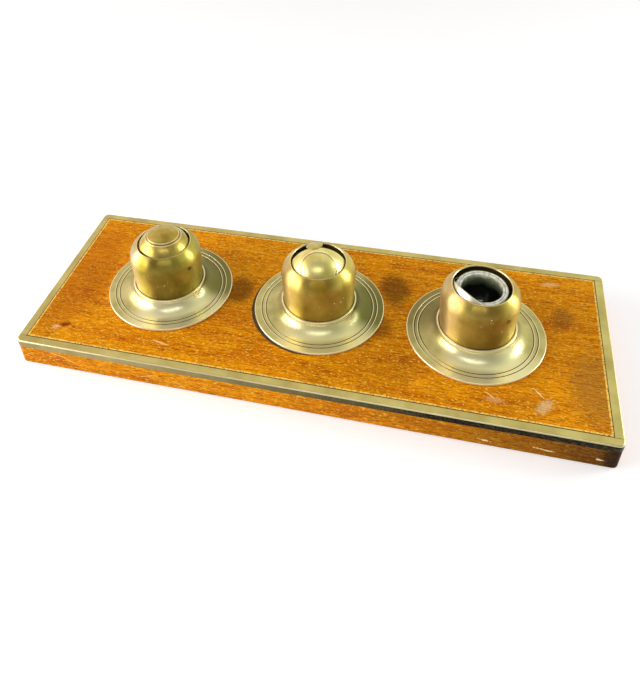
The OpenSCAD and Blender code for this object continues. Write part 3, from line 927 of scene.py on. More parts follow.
BOARD_MARKS_AND_SHADE = (
    # Broad stains in the polish: reddish at the left end and brown at the right end
    MarkAndShade((-165.0, 5.0, 19.8), (34.0, 70.0, 3), 0, "#A0440A", 0.4, 0.25),
    MarkAndShade((170.0, -30.0, 19.8), (22.0, 36.0, 3), 0, "#8E6428", 0.5, 0.3),
    # Painted shadows: darker patches on the top to the right of the bells, where they keep the light from the
    # left off the wood
    MarkAndShade((-52.7, 5.9, 19.8), (13.0, 17.0, 3), 0, "#5E3404", 0.7, 0.3),
    MarkAndShade((48.4, 26.7, 19.8), (14.0, 20.0, 3), 10, "#5E3404", 0.7, 0.3),
    MarkAndShade((44.0, -8.0, 19.8), (9.0, 14.0, 3), 0, "#6A3A06", 0.5, 0.3),
    MarkAndShade((152.7, 22.0, 19.8), (9.0, 12.0, 3), 0, "#7C4A1C", 0.5, 0.5),
    # A small dark red stain
    MarkAndShade((-155.1, -47.8, 19.8), (5.0, 2.6, 3), 20, "#6E200A", 0.8, 0.5),
    # Scuffs and scratches on the top
    MarkAndShade((140.2, -49.4, 19.8), (8.0, 4.2, 3), 52, "#E0C894", 0.55, 0.9),
    MarkAndShade((113.6, -50.4, 19.8), (7.0, 3.0, 3), -4, "#E8B070", 0.5, 0.85),
    MarkAndShade((146.7, 51.8, 19.8), (7.0, 2.4, 3), 10, "#F0C890", 0.5, 0.8),
    MarkAndShade((-159.9, -50.8, 19.8), (4.2, 2.2, 3), 15, "#F3C08A", 0.6, 0.9),
    MarkAndShade((-87.9, -49.7, 19.8), (8.0, 0.8, 3), -12, "#FFD890", 0.8, 0.4),
    MarkAndShade((110.8, -47.5, 19.8), (5.0, 0.5, 3), -35, "#FFE0A0", 0.7, 0.4),
    MarkAndShade((137.3, -40.7, 19.8), (5.0, 0.5, 3), -50, "#FFE8B8", 0.8, 0.4),
    # The front face, darker to the right, partly with old polish and partly as painted shade where the light
    # from the left falls off; and pale scratches and chips
    MarkAndShade((225.0, -67.0, 10.0), (205.0, 1.5, 60), 0, "#3A1C02", 0.5, 0.15),
    MarkAndShade((215.0, -67.0, 10.0), (95.0, 1.5, 40), 0, "#2C1402", 0.6, 0.15),
    MarkAndShade((183.0, -68.0, 10.0), (17.0, 9.0, 60), 0, "#120800", 0.85, 0.2),
    MarkAndShade((-152.4, -67.0, 12.1), (9.0, 1.0, 0.35), 0, "#FFE6A8", 0.8, 0.4, 12),
    MarkAndShade((-144.1, -67.0, 8.5), (7.0, 1.0, 0.3), 0, "#FFDC90", 0.7, 0.4, 25),
    MarkAndShade((-91.7, -67.0, 7.4), (8.0, 1.0, 0.3), 0, "#FFE0A0", 0.7, 0.4, -18),
    MarkAndShade((-69.8, -67.0, 3.7), (5.0, 1.0, 0.3), 0, "#FFD890", 0.7, 0.4, 30),
    MarkAndShade((109.9, -67.0, 4.7), (4.0, 1.0, 0.9), 0, "#FFE8B8", 0.95, 0.9, 10),
    MarkAndShade((141.9, -67.0, 5.7), (8.0, 1.0, 0.7), 0, "#FFE4A8", 0.9, 0.9, 6),
    MarkAndShade((169.8, -67.0, 5.7), (2.6, 1.0, 0.9), 0, "#FFE0B0", 0.95, 0.8, 4),
)


@dataclass
class Board:
    """The wooden board with its brass edging, boxwood line, baize and leather seats."""

    frame: dict
    corner: float = 3.7
    edging_top_w: float = 5.2
    edging_side_h: float = 5.0
    edging_t: float = 1.2
    edging_round: float = 1.0
    edging_steps: int = 8
    # The corner's radius half way across the brass, on its way to the sharp inner corner
    middle_corner: float = 0.4
    # Distance between the points along the edging, which lets its surface waver
    edging_pitch: float = 5.0
    edging_waver: float = 0.05
    corner_steps: int = 10
    joint_gap: float = 0.24
    crease: float = 38.0
    # Dust: how many grains lie loose, how far from the inkwells' axes and from the brass
    fleck_count: int = 240
    fleck_clear: float = 42.5
    fleck_inset: float = 2.0
    # Dust that has gathered round each flange, its radius and how far it scatters
    rim_dust: int = 30
    rim_dust_r: float = 43.4
    rim_dust_spread: float = 0.5
    dust_radii: Pair = (0.10, 0.26)

    def __post_init__(self) -> None:
        """Reads the board's outline from the frame."""
        low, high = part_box("edging_front")
        _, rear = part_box("edging_rear")
        self.length = (high.x - low.x) / MM
        self.width = (rear.y - low.y) / MM
        self.top = high.z / MM

    def ring(self, inset: float, corner: float, height: float) -> Ring:
        """Points round a rectangle with round corners, in step with every other ring.

        Args:
            inset: How far inside the edging's outline it lies.
            corner: The radius of its corners.
            height: Its height.

        Returns:
            The points in metres, anticlockwise from above.
        """
        half_x, half_y = self.length / 2 - inset, self.width / 2 - inset
        long_steps = round(self.length / self.edging_pitch)
        short_steps = round(self.width / self.edging_pitch)
        points: Ring = []
        for turn, steps in ((0, short_steps), (90, long_steps), (180, short_steps), (270, long_steps)):
            middle_x = math.copysign(half_x - corner, math.cos(math.radians(turn + 45)))
            middle_y = math.copysign(half_y - corner, math.sin(math.radians(turn + 45)))
            bend = arc((middle_x, middle_y), corner, turn, turn + 90, self.corner_steps)
            if points:
                points += self._between(points[-1], bend[0], height, steps)
            points += [Vector((x * MM, y * MM, height * MM)) for x, y in bend]
        start = points[0] / MM
        return points + self._between(points[-1], (start.x, start.y), height, short_steps)

    @staticmethod
    def _between(last: Vector, first: Point, height: float, steps: int) -> Ring:
        """Evenly spaced points between two corners, without the corners themselves."""
        a = Vector((last.x, last.y, height * MM))
        b = Vector((first[0] * MM, first[1] * MM, height * MM))
        return [a.lerp(b, i / steps) for i in range(1, steps)]

    def edging_rings(self) -> list[Ring]:
        """The rings of the brass angle's section, from its outer foot round and back to it."""
        foot, under = self.top - self.edging_side_h, self.top - self.edging_t
        shoulder = self.top - self.edging_round
        section = [(0, self.corner, foot), (0, self.corner, (foot + shoulder) / 2)]
        section += [(inset, self.corner - inset, shoulder + rise) for inset, rise in
                    arc((self.edging_round, 0), self.edging_round, 180, 90, self.edging_steps)]
        section += [((self.edging_round + self.edging_top_w) / 2, self.middle_corner, self.top),
                    (self.edging_top_w, 0, self.top), (self.edging_top_w, 0, under),
                    (self.edging_t, self.corner - self.edging_t, under),
                    (self.edging_t, self.corner - self.edging_t, foot)]
        return [self.ring(*step) for step in section]

    def make_edging(self) -> None:
        """Makes the four brass angles from one frame, cut where the real ones butt."""
        rings = self.edging_rings()
        total, count = len(rings), len(rings[0])
        points = [self._waver(p) for ring in rings for p in ring]
        faces = []
        for i, j in ((i, j) for i in range(total) for j in range(count)):
            after, k = (i + 1) % total, (j + 1) % count
            faces.append((i * count + j, i * count + k, after * count + k, after * count + j))
        brass = EDGING_BRASS.material()
        butt = self.width / 2 - self.edging_top_w
        # This plane lies 1 mm clear of the end strips, so that it cuts only through the long ones
        end = self.length / 2 - self.edging_top_w - 1
        for name, direction in (("front", (0, -1)), ("rear", (0, 1)), ("left", (-1, 0)), ("right", (1, 0))):
            piece = mesh_object(f"brass_edging_{name}", points, faces)
            clean(piece, 0.004)
            towards = Vector((*direction, 0))
            if direction[1]:
                keep_side(piece, towards * (butt + self.joint_gap / 2), towards)
            else:
                keep_side(piece, towards * end, towards)
                for across in (-1, 1):
                    keep_side(piece, Vector((0, across * (butt - self.joint_gap / 2), 0)),
                              Vector((0, -across, 0)))
            shade_by_angle(piece, self.crease)
            piece.data.materials.append(brass)
            hand_over(piece, "root", "edging_brass", f"edging_{name}")

    def _waver(self, point: Vector) -> Vector:
        """Moves a point of the edging up or down a little, as old sheet lies."""
        lift = noise.noise(point / (24 * MM)) * self.edging_waver * MM
        outer = noise.noise(point / (31 * MM) + Vector((7, 3, 1))) * self.edging_waver * MM
        edge = smooth_step((point.z / MM - self.top + self.edging_t) / self.edging_t)
        inward = Vector((-math.copysign(1, point.x), -math.copysign(1, point.y), 0)) * abs(outer) / 2
        return point + Vector((0, 0, -abs(lift))) * edge + inward

    def dress(self) -> None:
        """Gives the carried-over pieces of the board their finishes."""
        wood = Mahogany("French-polished mahogany", marks_and_shade=BOARD_MARKS_AND_SHADE).material()
        line = Boxwood("Boxwood line", self.length / 2 - self.edging_top_w,
                       self.width / 2 - self.edging_top_w).material()
        cloth, hide = Baize("Green baize").material(), Leather("Dark hide washer").material()
        finishes = {"board": wood, "baize_pad": cloth}
        finishes |= {f"stringing_{name}": line for name in ("front", "rear", "left", "right")}
        finishes |= {f"seat_washer_{side.value}": hide for side in Side}
        for name, finish in finishes.items():
            put_finish(self.frame["nodes"][name], finish)

    def make_dust(self, sprinkling: Sprinkling, wells: list[Vector]) -> None:
        """Sprinkles dust on the board's top, clear of the inkwells.

        Args:
            sprinkling: The tree that makes the grains.
            wells: The inkwells' axes.
        """
        chance = random.Random(11)
        places: list[Vector] = []
        inner = self.edging_top_w + self.fleck_inset
        while len(places) < self.fleck_count:
            spot = Vector((chance.uniform(-1, 1) * (self.length / 2 - inner),
                           chance.uniform(-1, 1) * (self.width / 2 - inner), self.top))
            if all((spot.xy - well.xy).length > self.fleck_clear for well in wells):
                places.append(spot * MM)
        for well in (well for well in wells for _ in range(self.rim_dust)):
            turn = chance.uniform(-math.pi, math.pi)
            out = chance.gauss(self.rim_dust_r, self.rim_dust_spread)
            spot = Vector((well.x + out * math.cos(turn), well.y + out * math.sin(turn), self.top))
            places.append(spot * MM)
        dust = Dust("Pale dust on the board", "#FFEEC4").material()
        hand_over(sprinkling.sprinkle("dust_board", places, dust, self.dust_radii, 3), "root", "mahogany")


@dataclass
class Inkwell:
    """One drop-in brass inkwell: flange, cup, bell, pins, spacers, glazed pot and rolling lid."""

    frame: dict
    turning: Turning
    side: Side
    # Flange
    flange_t: float = 1.0
    rim_round: float = 0.45
    lip_line_r: float = 37.0
    sweep_foot_r: float = 33.8
    sweep_h: float = 6.4
    collar_r: float = 24.6
    bead_r: float = 0.95
    bead_z: float = 7.7
    ledge_z: float = 6.4
    ledge_t: float = 0.8
    line_w: float = 0.3
    line_depth: float = 0.25
    slip_fit: float = 0.05
    # Bell
    bell_t: float = 1.0
    bell_foot_r: float = 22.3
    belly_r: float = 23.1
    belly_rise: float = 0.8
    bell_foot_z: float = 9.1
    cup_rim_top: float = 7.0
    cup_rim_w: float = 1.8
    shoulder_r: float = 11.4
    mouth_angle: float = 57.8
    flare_steps: int = 15
    # Lid
    lid_r: float = 19.0
    lid_t: float = 1.0
    short_edge: float = 50.0
    long_edge: float = 60.0
    ear_r: float = 3.5
    ear_blend: float = 9.0
    pin_bore_r: float = 1.05
    pad_r: float = 5.0
    pad_lap: float = 1.8
    pad_swing: float = 8.0
    pad_rise: float = 0.5
    pad_dish: float = 0.22
    solder_gap: float = 0.03
    lid_rings: Pair = (10.2, 11.65)
    # How deep and how large its waver is, and where that starts and how it grows, in radians from a pin
    lid_waver: float = 0.06
    waver_size: float = 9.0
    waver_from: float = 0.25
    waver_fade: float = 0.4
    # Where the rows of the lid's crown give way to the rows that follow its edge, in degrees from the top
    crown_end: float = 41.0
    # Rows from there to the edge and back inside, rows round the edge, and columns from ear to middle
    lid_rows_each_way: int = 25
    edge_rows: int = 8
    side_columns: int = 44
    column_spread: float = 1.15
    lid_crease: float = 40.0
    # Pot
    pot_foot_r: float = 14.0
    pot_foot_t: float = 2.0
    pot_cove_h: float = 5.0
    pot_stem_r: float = 5.0
    pot_bowl_r: float = 15.0
    pot_proud: float = 0.2
    pot_mouth_r: float = 12.0
    pot_inside_h: float = 13.0
    pot_rim_rise: float = 8.6
    pot_wall_rise: float = 0.4
    # Room between the bowl's underside and the inside of the lid that rolls past it
    bowl_gap: float = 1.6
    rim_roll: float = 0.9
    rim_inner_roll: float = 0.65
    # The longest segments of the three turned profiles
    flange_pitch: float = 1.1
    bell_pitch: float = 1.3
    pot_pitch: float = 1.6
    # Bright specks: the side of the bell they lie on and their spread, in degrees, and their radii
    speck_side: float = -62.0
    speck_spread: float = 22.0
    speck_radii: Pair = (0.2, 0.4)

    def __post_init__(self) -> None:
        """Reads the inkwell's place, turn and lid angle from the frame."""
        joint = next(j for j in self.frame["joints"] if j["name"] == f"lid_roll_{self.side.value}")
        axis, pivot = Vector(joint["axis"]), Vector(joint["pos_m"]) / MM
        low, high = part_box(f"flange_{self.side.value}")
        self.base = low.z / MM
        self.flange_r = (high.x - low.x) / 2 / MM
        self.pivot_z = pivot.z - self.base
        self.turn = math.atan2(axis.y, axis.x)
        opened = math.radians(CLOSED_STOP - joint["range_deg"][0])
        self.seed = 3.7 * list(Side).index(self.side) + 1.3
        self.place = Place(Vector((pivot.x, pivot.y, self.base)), Euler((0, 0, self.turn)))
        self.lid_place = Place(pivot, Euler((opened, 0, self.turn)))
        self.well = f"well_{self.side.value}"
        self.lid = f"lid_{self.side.value}"

    def flange_profile(self) -> list[Point]:
        """The flange's closed profile: lip, engraved lines, hollow sweep, collar, bead and ledge."""
        rise, run = self.sweep_h - self.flange_t, self.sweep_foot_r - self.collar_r
        sweep_r = (run * run + rise * rise) / (2 * rise)
        sweep = (self.sweep_foot_r, self.flange_t + sweep_r)
        sweep_end = 270 - math.degrees(math.asin(run / sweep_r))
        under_r, under_z = sweep_r + self.flange_t, self.ledge_z - self.ledge_t
        under_end = 180 + math.degrees(math.asin((sweep[1] - under_z) / under_r))
        bore = self.bell_foot_r + self.slip_fit
        ledge_bore = self.bell_foot_r - self.cup_rim_w + self.slip_fit
        rim = (self.flange_r - self.rim_round, self.flange_t - self.rim_round)
        profile = [(self.flange_r, 0.0)]
        profile += arc(rim, self.rim_round, 0, 90, 6)
        profile += self._groove(self.lip_line_r)
        profile += self._groove(self.sweep_foot_r + 2 * self.line_w)
        profile += arc(sweep, sweep_r, 270, sweep_end, 22)
        profile += [(bore + 1.5 * self.bead_r, self.sweep_h)]
        profile += arc((bore + self.bead_r, self.bead_z), self.bead_r, -60, 180, 14)
        profile += [(bore, self.ledge_z), (ledge_bore, self.ledge_z), (ledge_bore, under_z)]
        profile += arc(sweep, under_r, under_end, 270, 16)
        return subdivide(profile, self.flange_pitch)

    def _groove(self, radius: float) -> list[Point]:
        """A V-shaped engraved line in the flange's lip, from outside inwards."""
        top, bottom = self.flange_t, self.flange_t - self.line_depth
        return [(radius + self.line_w, top), (radius + self.line_w / 3, bottom),
                (radius - self.line_w / 3, bottom), (radius - self.line_w, top)]

    def bell_profile(self) -> list[Point]:
        """The bell's closed profile: straight foot, eased flare, round shoulder and rolled mouth."""
        belly_z = self.pivot_z + self.belly_rise
        centre = (self.belly_r - self.shoulder_r, belly_z)
        cap_r = self.bell_t / 2
        cap = arc(centre, self.shoulder_r - cap_r, self.mouth_angle, self.mouth_angle, 1)[0]
        flare = []
        for share in (i / self.flare_steps for i in range(1, self.flare_steps)):
            ease = math.sin(share * math.pi / 2)
            flare.append((self.bell_foot_r + (self.belly_r - self.bell_foot_r) * ease,
                          self.bell_foot_z + (belly_z - self.bell_foot_z) * share))
        profile = [(self.bell_foot_r, self.cup_rim_top), (self.bell_foot_r, self.bell_foot_z)]
        profile += flare
        profile += arc(centre, self.shoulder_r, 0, self.mouth_angle, 20)
        profile += arc(cap, cap_r, self.mouth_angle, self.mouth_angle + 180, 10)
        profile += arc(centre, self.shoulder_r - self.bell_t, self.mouth_angle, 0, 12)
        profile += [(r - self.bell_t, z) for r, z in reversed(flare[::3])]
        profile += [(self.bell_foot_r - self.bell_t, self.bell_foot_z),
                    (self.bell_foot_r - self.bell_t, self.cup_rim_top)]
        return subdivide(profile, self.bell_pitch)

    def pot_profile(self) -> list[Point]:
        """The pot's closed profile: foot, cove, stem, bowl, rolled rim and the inside of the bowl."""
        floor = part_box(f"pot_{self.side.value}")[0].z / MM - self.base
        top = self.pivot_z + self.pot_rim_rise
        wall = self.pivot_z + self.pot_wall_rise
        reach = self.lid_r - self.lid_t - self.bowl_gap
        bowl_h = wall - (self.pivot_z - math.sqrt(reach ** 2 - self.pot_stem_r ** 2))
        rim_r = self.pot_bowl_r + self.pot_proud
        edge = self.pot_foot_r - self.pot_foot_t / 2
        foot_top = floor + self.pot_foot_t
        profile = [(0.0, floor), (edge + self.pot_foot_t / 4, floor)]
        profile += arc((edge, floor + self.pot_foot_t / 2), self.pot_foot_t / 2, -60, 90, 8)
        profile += ellipse((edge, foot_top + self.pot_cove_h), edge - self.pot_stem_r, self.pot_cove_h,
                           270, 180, 14)
        profile += ellipse((self.pot_stem_r, wall), self.pot_bowl_r - self.pot_stem_r, bowl_h, 270, 360, 16)
        profile += arc((rim_r - self.rim_roll, top - self.rim_roll), self.rim_roll, 0, 140, 12)
        profile += arc((self.pot_mouth_r + self.rim_inner_roll, top - self.rim_roll), self.rim_inner_roll,
                       60, 180, 8)
        profile += ellipse((0, wall), self.pot_mouth_r, self.pot_inside_h - self.pot_wall_rise, 360, 270, 18)
        return subdivide(profile, self.pot_pitch)

    def make_turned(self) -> None:
        """Turns the flange, the bell and the pot."""
        name = self.side.value
        pieces = (
            ("flange", self.flange_profile(), FLANGE_BRASS[self.side], 160, (0.10, 16, 0.6), "pale_brass"),
            ("bell", self.bell_profile(), BELL_BRASS[self.side], 160, (0.22, 13, 9.5), "warm_brass"),
            ("pot", self.pot_profile(), Glaze(f"Tin glaze {name}"), 128, (0.12, 9, -100.0), "glazed_pot"),
        )
        for kind, profile, finish, segments, dents, slot in pieces:
            piece = self.turning.turn(f"{kind}_shape_{name}", profile, finish.material(self.place),
                                      self.place.matrix(), segments, Dents(*dents, self.seed))
            hand_over(piece, self.well, slot, f"{kind}_{name}")

    def lid_edge(self, direction: float) -> float:
        """The angle from the crown to the lid's edge.

        Args:
            direction: The direction round the crown from the pivot axis, in radians.

        Returns:
            The angle in radians.
        """
        limit = math.radians(self.short_edge if math.sin(direction) >= 0 else self.long_edge)
        off_axis = math.asin(min(1.0, abs(math.sin(direction))))
        lune = math.atan2(math.tan(limit), math.sin(off_axis))
        ear = math.asin(self.ear_r / self.lid_r)
        if off_axis <= ear:
            return math.pi - math.asin(min(1.0, math.cos(ear) / math.cos(off_axis)))
        at_ear = math.atan2(math.tan(limit), math.sin(ear))
        blend = max(0.0, 1 - (off_axis - ear) / math.radians(self.ear_blend))
        return lune + (math.pi / 2 - at_ear) * blend ** 2

    def lid_directions(self) -> list[float]:
        """Directions round the crown, closer together where the edge turns round the ears."""
        ear = math.asin(self.ear_r / self.lid_r)
        turns = [math.radians(-90 + 90 * i / 10) for i in range(10)]
        quarter = [math.atan(math.cos(turn) * math.tan(ear)) for turn in turns] + [ear]
        steps = self.side_columns
        quarter += [ear + (math.pi / 2 - ear) * (i / steps) ** self.column_spread
                    for i in range(1, steps + 1)]
        half = quarter + [math.pi - a for a in reversed(quarter[:-1])]
        return half[:-1] + [math.pi + a for a in half[:-1]]

    def lid_rows(self) -> list[Ring]:
        """Rows of the lid's points: out from its crown, round its edge and back inside to the crown."""
        directions = self.lid_directions()
        edge = [self._on_sphere(a, self.lid_edge(a)) for a in directions]
        count, rim_r = len(directions), self.lid_t / 2
        centres, outs = [], []
        for k, point in enumerate(edge):
            along = (edge[(k + 1) % count] - edge[k - 1]).normalized()
            outs.append(along.cross(point).normalized())
            centres.append((point - outs[-1] * (rim_r / self.lid_r)).normalized())
        rows: list[Ring] = [[Vector((0, 0, self.lid_r))] * count]
        for radius, cut in self._crown_rows():
            polar = math.asin(radius / self.lid_r)
            rows.append([self._on_sphere(a, polar) * (self.lid_r - cut) for a in directions])
        shoulder, steps = math.radians(self.crown_end), self.lid_rows_each_way
        for share in (i / steps for i in range(steps + 1)):
            rows.append([self._on_sphere(a, shoulder).slerp(c, share) * self.lid_r
                         for a, c in zip(directions, centres)])
        for tilt in (math.radians(90 - 180 * i / self.edge_rows) for i in range(1, self.edge_rows)):
            rows.append([c * (self.lid_r - rim_r + rim_r * math.sin(tilt)) + o * (rim_r * math.cos(tilt))
                         for c, o in zip(centres, outs)])
        inside, crown = self.lid_r - self.lid_t, Vector((0, 0, 1))
        rows += [[c.slerp(crown, i / steps) * inside for c in centres] for i in range(steps)]
        return rows + [[crown * inside] * count]

    def make_lid(self) -> None:
        """Makes the lid: a spherical shell with engraved rings, a rounded edge and bored ears."""
        rows = self.lid_rows()
        count = len(rows[0])
        faces = []
        for i, j in ((i, j) for i in range(len(rows) - 1) for j in range(count)):
            k = (j + 1) % count
            faces.append((i * count + j, (i + 1) * count + j, (i + 1) * count + k, i * count + k))
        points = [self._dent(p) * MM for row in rows for p in row]
        piece = mesh_object(f"lid_shape_{self.side.value}", points, faces)
        clean(piece)
        self._bore(piece)
        shade_by_angle(piece, self.lid_crease)
        piece.data.materials.clear()
        piece.data.materials.append(LID_BRASS[self.side].material(self.lid_place))
        piece.data.transform(self.lid_place.matrix())
        hand_over(piece, self.lid, "pale_brass", f"lid_{self.side.value}")

    @staticmethod
    def _on_sphere(direction: float, polar: float) -> Vector:
        """The unit vector at a direction round the crown and an angle from it."""
        return Vector((math.sin(polar) * math.cos(direction), math.sin(polar) * math.sin(direction),
                       math.cos(polar)))

    def _crown_rows(self) -> list[Pair]:
        """Radii of the rows on the crown, and how deep each lies in an engraved ring."""
        rows = [(self.lid_rings[0] * i / 9, 0.0) for i in range(1, 9)]
        for ring in self.lid_rings:
            rows += [(ring - self.line_w, 0.0), (ring - self.line_w / 3, self.line_depth),
                     (ring + self.line_w / 3, self.line_depth), (ring + self.line_w, 0.0)]
        return rows

    def _dent(self, point: Vector) -> Vector:
        """Moves a point of the lid in or out along its radius, as spun metal wavers."""
        shift = noise.noise(point / self.waver_size + Vector((self.seed, 0, 5)))
        from_pin = abs(math.atan2(math.hypot(point.y, point.z), point.x))
        ease = smooth_step((from_pin - self.waver_from) / self.waver_fade)
        return point * (1 + self.lid_waver * shift * ease / self.lid_r)

    def _bore(self, piece: bpy.types.Object) -> None:
        """Bores the ears of the lid, which is in its own axes, for the pins."""
        drill = bmesh.new()
        bmesh.ops.create_cone(drill, cap_ends=True, segments=32, radius1=self.pin_bore_r * MM,
                              radius2=self.pin_bore_r * MM, depth=3 * self.lid_r * MM)
        bmesh.ops.rotate(drill, verts=drill.verts, matrix=Matrix.Rotation(math.pi / 2, 3, "Y"))
        tool = mesh_object("drill", [], [])
        drill.to_mesh(tool.data)
        drill.free()
        cut = piece.modifiers.new("Bore", "BOOLEAN")
        cut.operation = "DIFFERENCE"
        cut.solver = "EXACT"
        cut.object = tool
        settle(piece)
        bpy.data.objects.remove(tool)

    def make_thumb_pad(self) -> None:
        """Turns the dished pad that is soldered over the lid's short edge."""
        spread = math.asin(self.pad_r / self.lid_r)
        top, under = self.lid_r + self.pad_rise, self.lid_r + self.solder_gap
        middle, edge, lip = (top + under) / 2, spread + 0.006, spread - self.pad_rise / self.lid_r
        # Each corner as its distance from the sphere's centre and its angle from the pad's axis
        corners = [(under, spread * i / 8) for i in range(9)] + [(middle, edge), (top, lip)]
        corners += [(top - self.pad_dish * smooth_step(1.4 * (1 - i / 8)), lip * i / 8)
                    for i in range(7, -1, -1)]
        profile = [(distance * math.sin(angle), distance * math.cos(angle)) for distance, angle in corners]
        angle = math.radians(self.short_edge) + spread - math.asin(self.pad_lap / self.lid_r)
        own = self.lid_place.matrix() @ Matrix.Rotation(math.radians(self.pad_swing), 4, "Z")
        own = own @ Matrix.Rotation(-angle, 4, "X")
        finish = THUMB_BRASS.material(Place(own.translation / MM, own.to_euler()))
        piece = self.turning.turn("thumb_pad_shape", profile + profile[:1], finish, own, 64)
        hand_over(piece, self.lid, "pale_brass", "thumb_pad")

    def make_specks(self, sprinkling: Sprinkling, count: int) -> None:
        """Sprinkles tiny bright specks on the front of the bell.

        Args:
            sprinkling: The tree that makes the grains.
            count: How many there are.
        """
        chance = random.Random(40 + int(self.seed))
        # The outer side of the bell's wall, above its foot
        least_r = self.bell_foot_r - 0.1
        outline = [(r, z) for r, z in self.bell_profile() if r > least_r and z > self.bell_foot_z]
        places = []
        for _ in range(count):
            radius, height = chance.choice(outline)
            direction = math.radians(chance.gauss(self.speck_side, self.speck_spread)) - self.turn
            spot = Vector((radius * math.cos(direction), radius * math.sin(direction), height))
            places.append(self.place.matrix() @ (spot * MM))
        speck = Dust(f"Bright specks {self.side.value}", "#FFF6C8", 0.3).material()
        piece = sprinkling.sprinkle(f"specks_{self.side.value}", places, speck, self.speck_radii,
                                    5 + int(self.seed))
        hand_over(piece, self.well, "warm_brass")

    def build(self) -> None:
        """Makes and dresses the inkwell's pieces."""
        self.make_turned()
        self.make_lid()
        if self.side is Side.MIDDLE:
            self.make_thumb_pad()
        inner = INNER_BRASS.material(self.place)
        for kind in ("cup", "pivot_pins", "spacers"):
            put_finish(self.frame["nodes"][f"{kind}_{self.side.value}"], inner)


@dataclass(frozen=True)
class Lamp:
    """A soft lamp: where it stands as seen from the inkstand, how large it looks and how bright it is."""

    name: str
    azimuth: float
    elevation: float
    width: float
    height: float
    radiance: float
    colour: str = "#FFFFFF"
    # Metres from the aim point
    distance: float = 1.1
    aim: Triple = (0.0, 0.0, 0.03)

    def build(self) -> None:
        """Puts the lamp in the scene."""
        a, e = math.radians(self.azimuth), math.radians(self.elevation)
        towards = Vector((math.cos(a) * math.cos(e), math.sin(a) * math.cos(e), math.sin(e)))
        light = bpy.data.lights.new(self.name, "AREA")
        light.shape = "RECTANGLE"
        light.size = 2 * self.distance * math.tan(math.radians(self.width / 2))
        light.size_y = 2 * self.distance * math.tan(math.radians(self.height / 2))
        light.energy = self.radiance * math.pi * light.size * light.size_y
        light.color = linear(self.colour)[:3]
        lamp = bpy.data.objects.new(self.name, light)
        lamp.location = Vector(self.aim) + towards * self.distance
        lamp.rotation_euler = towards.to_track_quat("Z", "Y").to_euler()
        bpy.context.scene.collection.objects.link(lamp)


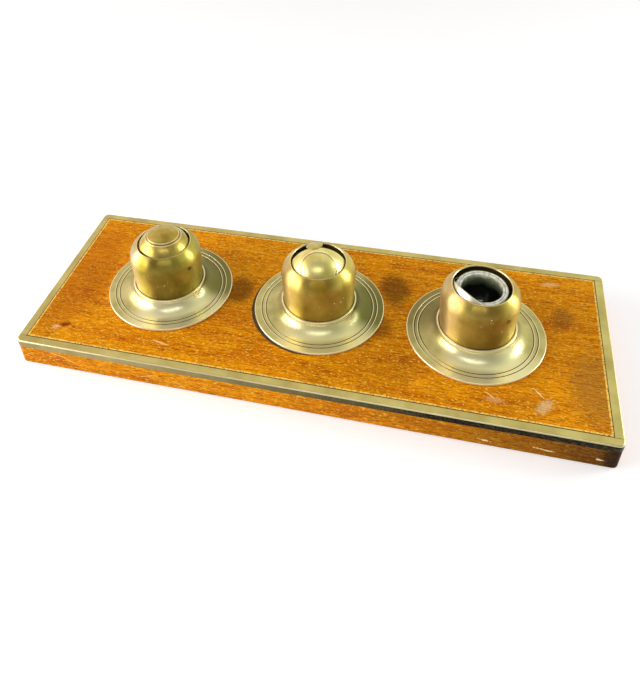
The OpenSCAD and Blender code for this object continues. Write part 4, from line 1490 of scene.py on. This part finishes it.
@dataclass(frozen=True)
class Studio:
    """The camera, the pale floor, the soft lamps and the white surroundings."""

    # The camera's place in metres, its turns in degrees and its lens
    camera_at: Triple = (0.0769, -0.3331, 0.3587)
    camera_turn: Triple = (54.129, 2.850, 14.662)
    lens: float = 38.689
    shift: Pair = (0.06815, -0.21512)
    sensor_width: float = 36.0
    # The nearest that the camera sees, in metres
    clip_start: float = 0.01
    # The floor's side and depth below the baize, in metres
    floor_size: float = 6.0
    floor_drop: float = 0.0002
    surroundings: float = 0.42
    # The darker side of the room, behind and above the camera, as the metal shows it
    dim_side: Triple = (0.12, -0.8, 0.58)
    dim_from: float = 0.2
    dim_full: float = 0.9
    dim_to: float = 0.24
    left_tint: str = "#FFE9DC"
    right_tint: str = "#F1F6CC"
    lamps: tuple[Lamp, ...] = (
        Lamp("Left window", -160, 18, 50, 36, 6.4, "#FFF6F0"),
        Lamp("Right window", 20, 20, 18, 30, 7.0),
        Lamp("Front strip", -82, 55, 34, 6, 6.5),
    )

    def make_camera(self) -> None:
        """Puts the camera where the photograph's was."""
        lens = bpy.data.cameras.new("Camera")
        lens.lens = self.lens
        lens.sensor_width = self.sensor_width
        lens.shift_x, lens.shift_y = self.shift
        lens.clip_start = self.clip_start
        camera = bpy.data.objects.new("Camera", lens)
        camera.location = self.camera_at
        camera.rotation_euler = [math.radians(a) for a in self.camera_turn]
        bpy.context.scene.collection.objects.link(camera)
        bpy.context.scene.camera = camera

    def make_floor(self) -> None:
        """Lays the pale floor."""
        half = self.floor_size / 2
        corners = [Vector((x * half, y * half, -self.floor_drop))
                   for x, y in ((-1, -1), (1, -1), (1, 1), (-1, 1))]
        floor = mesh_object("floor", corners, [(0, 1, 2, 3)])
        floor.data.materials.append(PaleFloor("Pale matt floor").material())

    def make_surroundings(self) -> None:
        """Makes the world white to the eye, tinted and dimmer towards one side in the metal, and a plain soft
        light otherwise.
        """
        world = bpy.data.worlds.new("Surroundings")
        bpy.context.scene.world = world
        world.use_nodes = True
        world.node_tree.nodes.clear()
        add = partial(add_node, world.node_tree)
        towards = add("ShaderNodeTexCoord").outputs["Generated"]
        facing = add("ShaderNodeVectorMath", {0: towards, 1: Vector(self.dim_side).normalized()},
                     operation="DOT_PRODUCT")
        dim = add("ShaderNodeMapRange", {
            "Value": facing, "From Min": self.dim_from, "From Max": self.dim_full,
            "To Min": 1.0, "To Max": self.dim_to}, interpolation_type="SMOOTHSTEP")
        across = add("ShaderNodeSeparateXYZ", {"Vector": towards})
        tint = add("ShaderNodeMapRange", {"Value": across, "From Min": -1.0})
        tone = add("ShaderNodeMix", {
            MIX_FACTOR: tint, MIX_A: linear(self.left_tint), MIX_B: linear(self.right_tint)},
            data_type="RGBA")
        shown = seen_ray(add, self.surroundings, 1.0)
        room = add("ShaderNodeMath", {0: shown, 1: dim}, operation="MULTIPLY")
        metal = add("ShaderNodeBackground", {"Color": tone, "Strength": room})
        plain = add("ShaderNodeBackground", {"Color": linear("#FFFFFF"), "Strength": shown})
        mirrored = add("ShaderNodeLightPath").outputs["Is Glossy Ray"]
        either = add("ShaderNodeMixShader", {0: mirrored, 1: plain, 2: metal})
        add("ShaderNodeOutputWorld", {"Surface": either})

    def build(self) -> None:
        """Lights the scene."""
        self.make_floor()
        self.make_surroundings()
        for lamp in self.lamps:
            lamp.build()
        bpy.context.scene.view_settings.view_transform = "Standard"


def main() -> None:
    """Builds the inkstand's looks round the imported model."""
    logging.basicConfig(level=logging.INFO, format="%(name)s: %(message)s")
    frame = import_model()
    studio = Studio()
    studio.make_camera()
    turning, sprinkling = Turning(), Sprinkling()
    board = Board(frame)
    board.make_edging()
    board.dress()
    wells = [Inkwell(frame, turning, side) for side in Side]
    for well, specks in zip(wells, (12, 5, 8)):
        well.build()
        well.make_specks(sprinkling, specks)
    board.make_dust(sprinkling, [well.place.location for well in wells])
    studio.build()


if __name__ == "__main__":
    main()
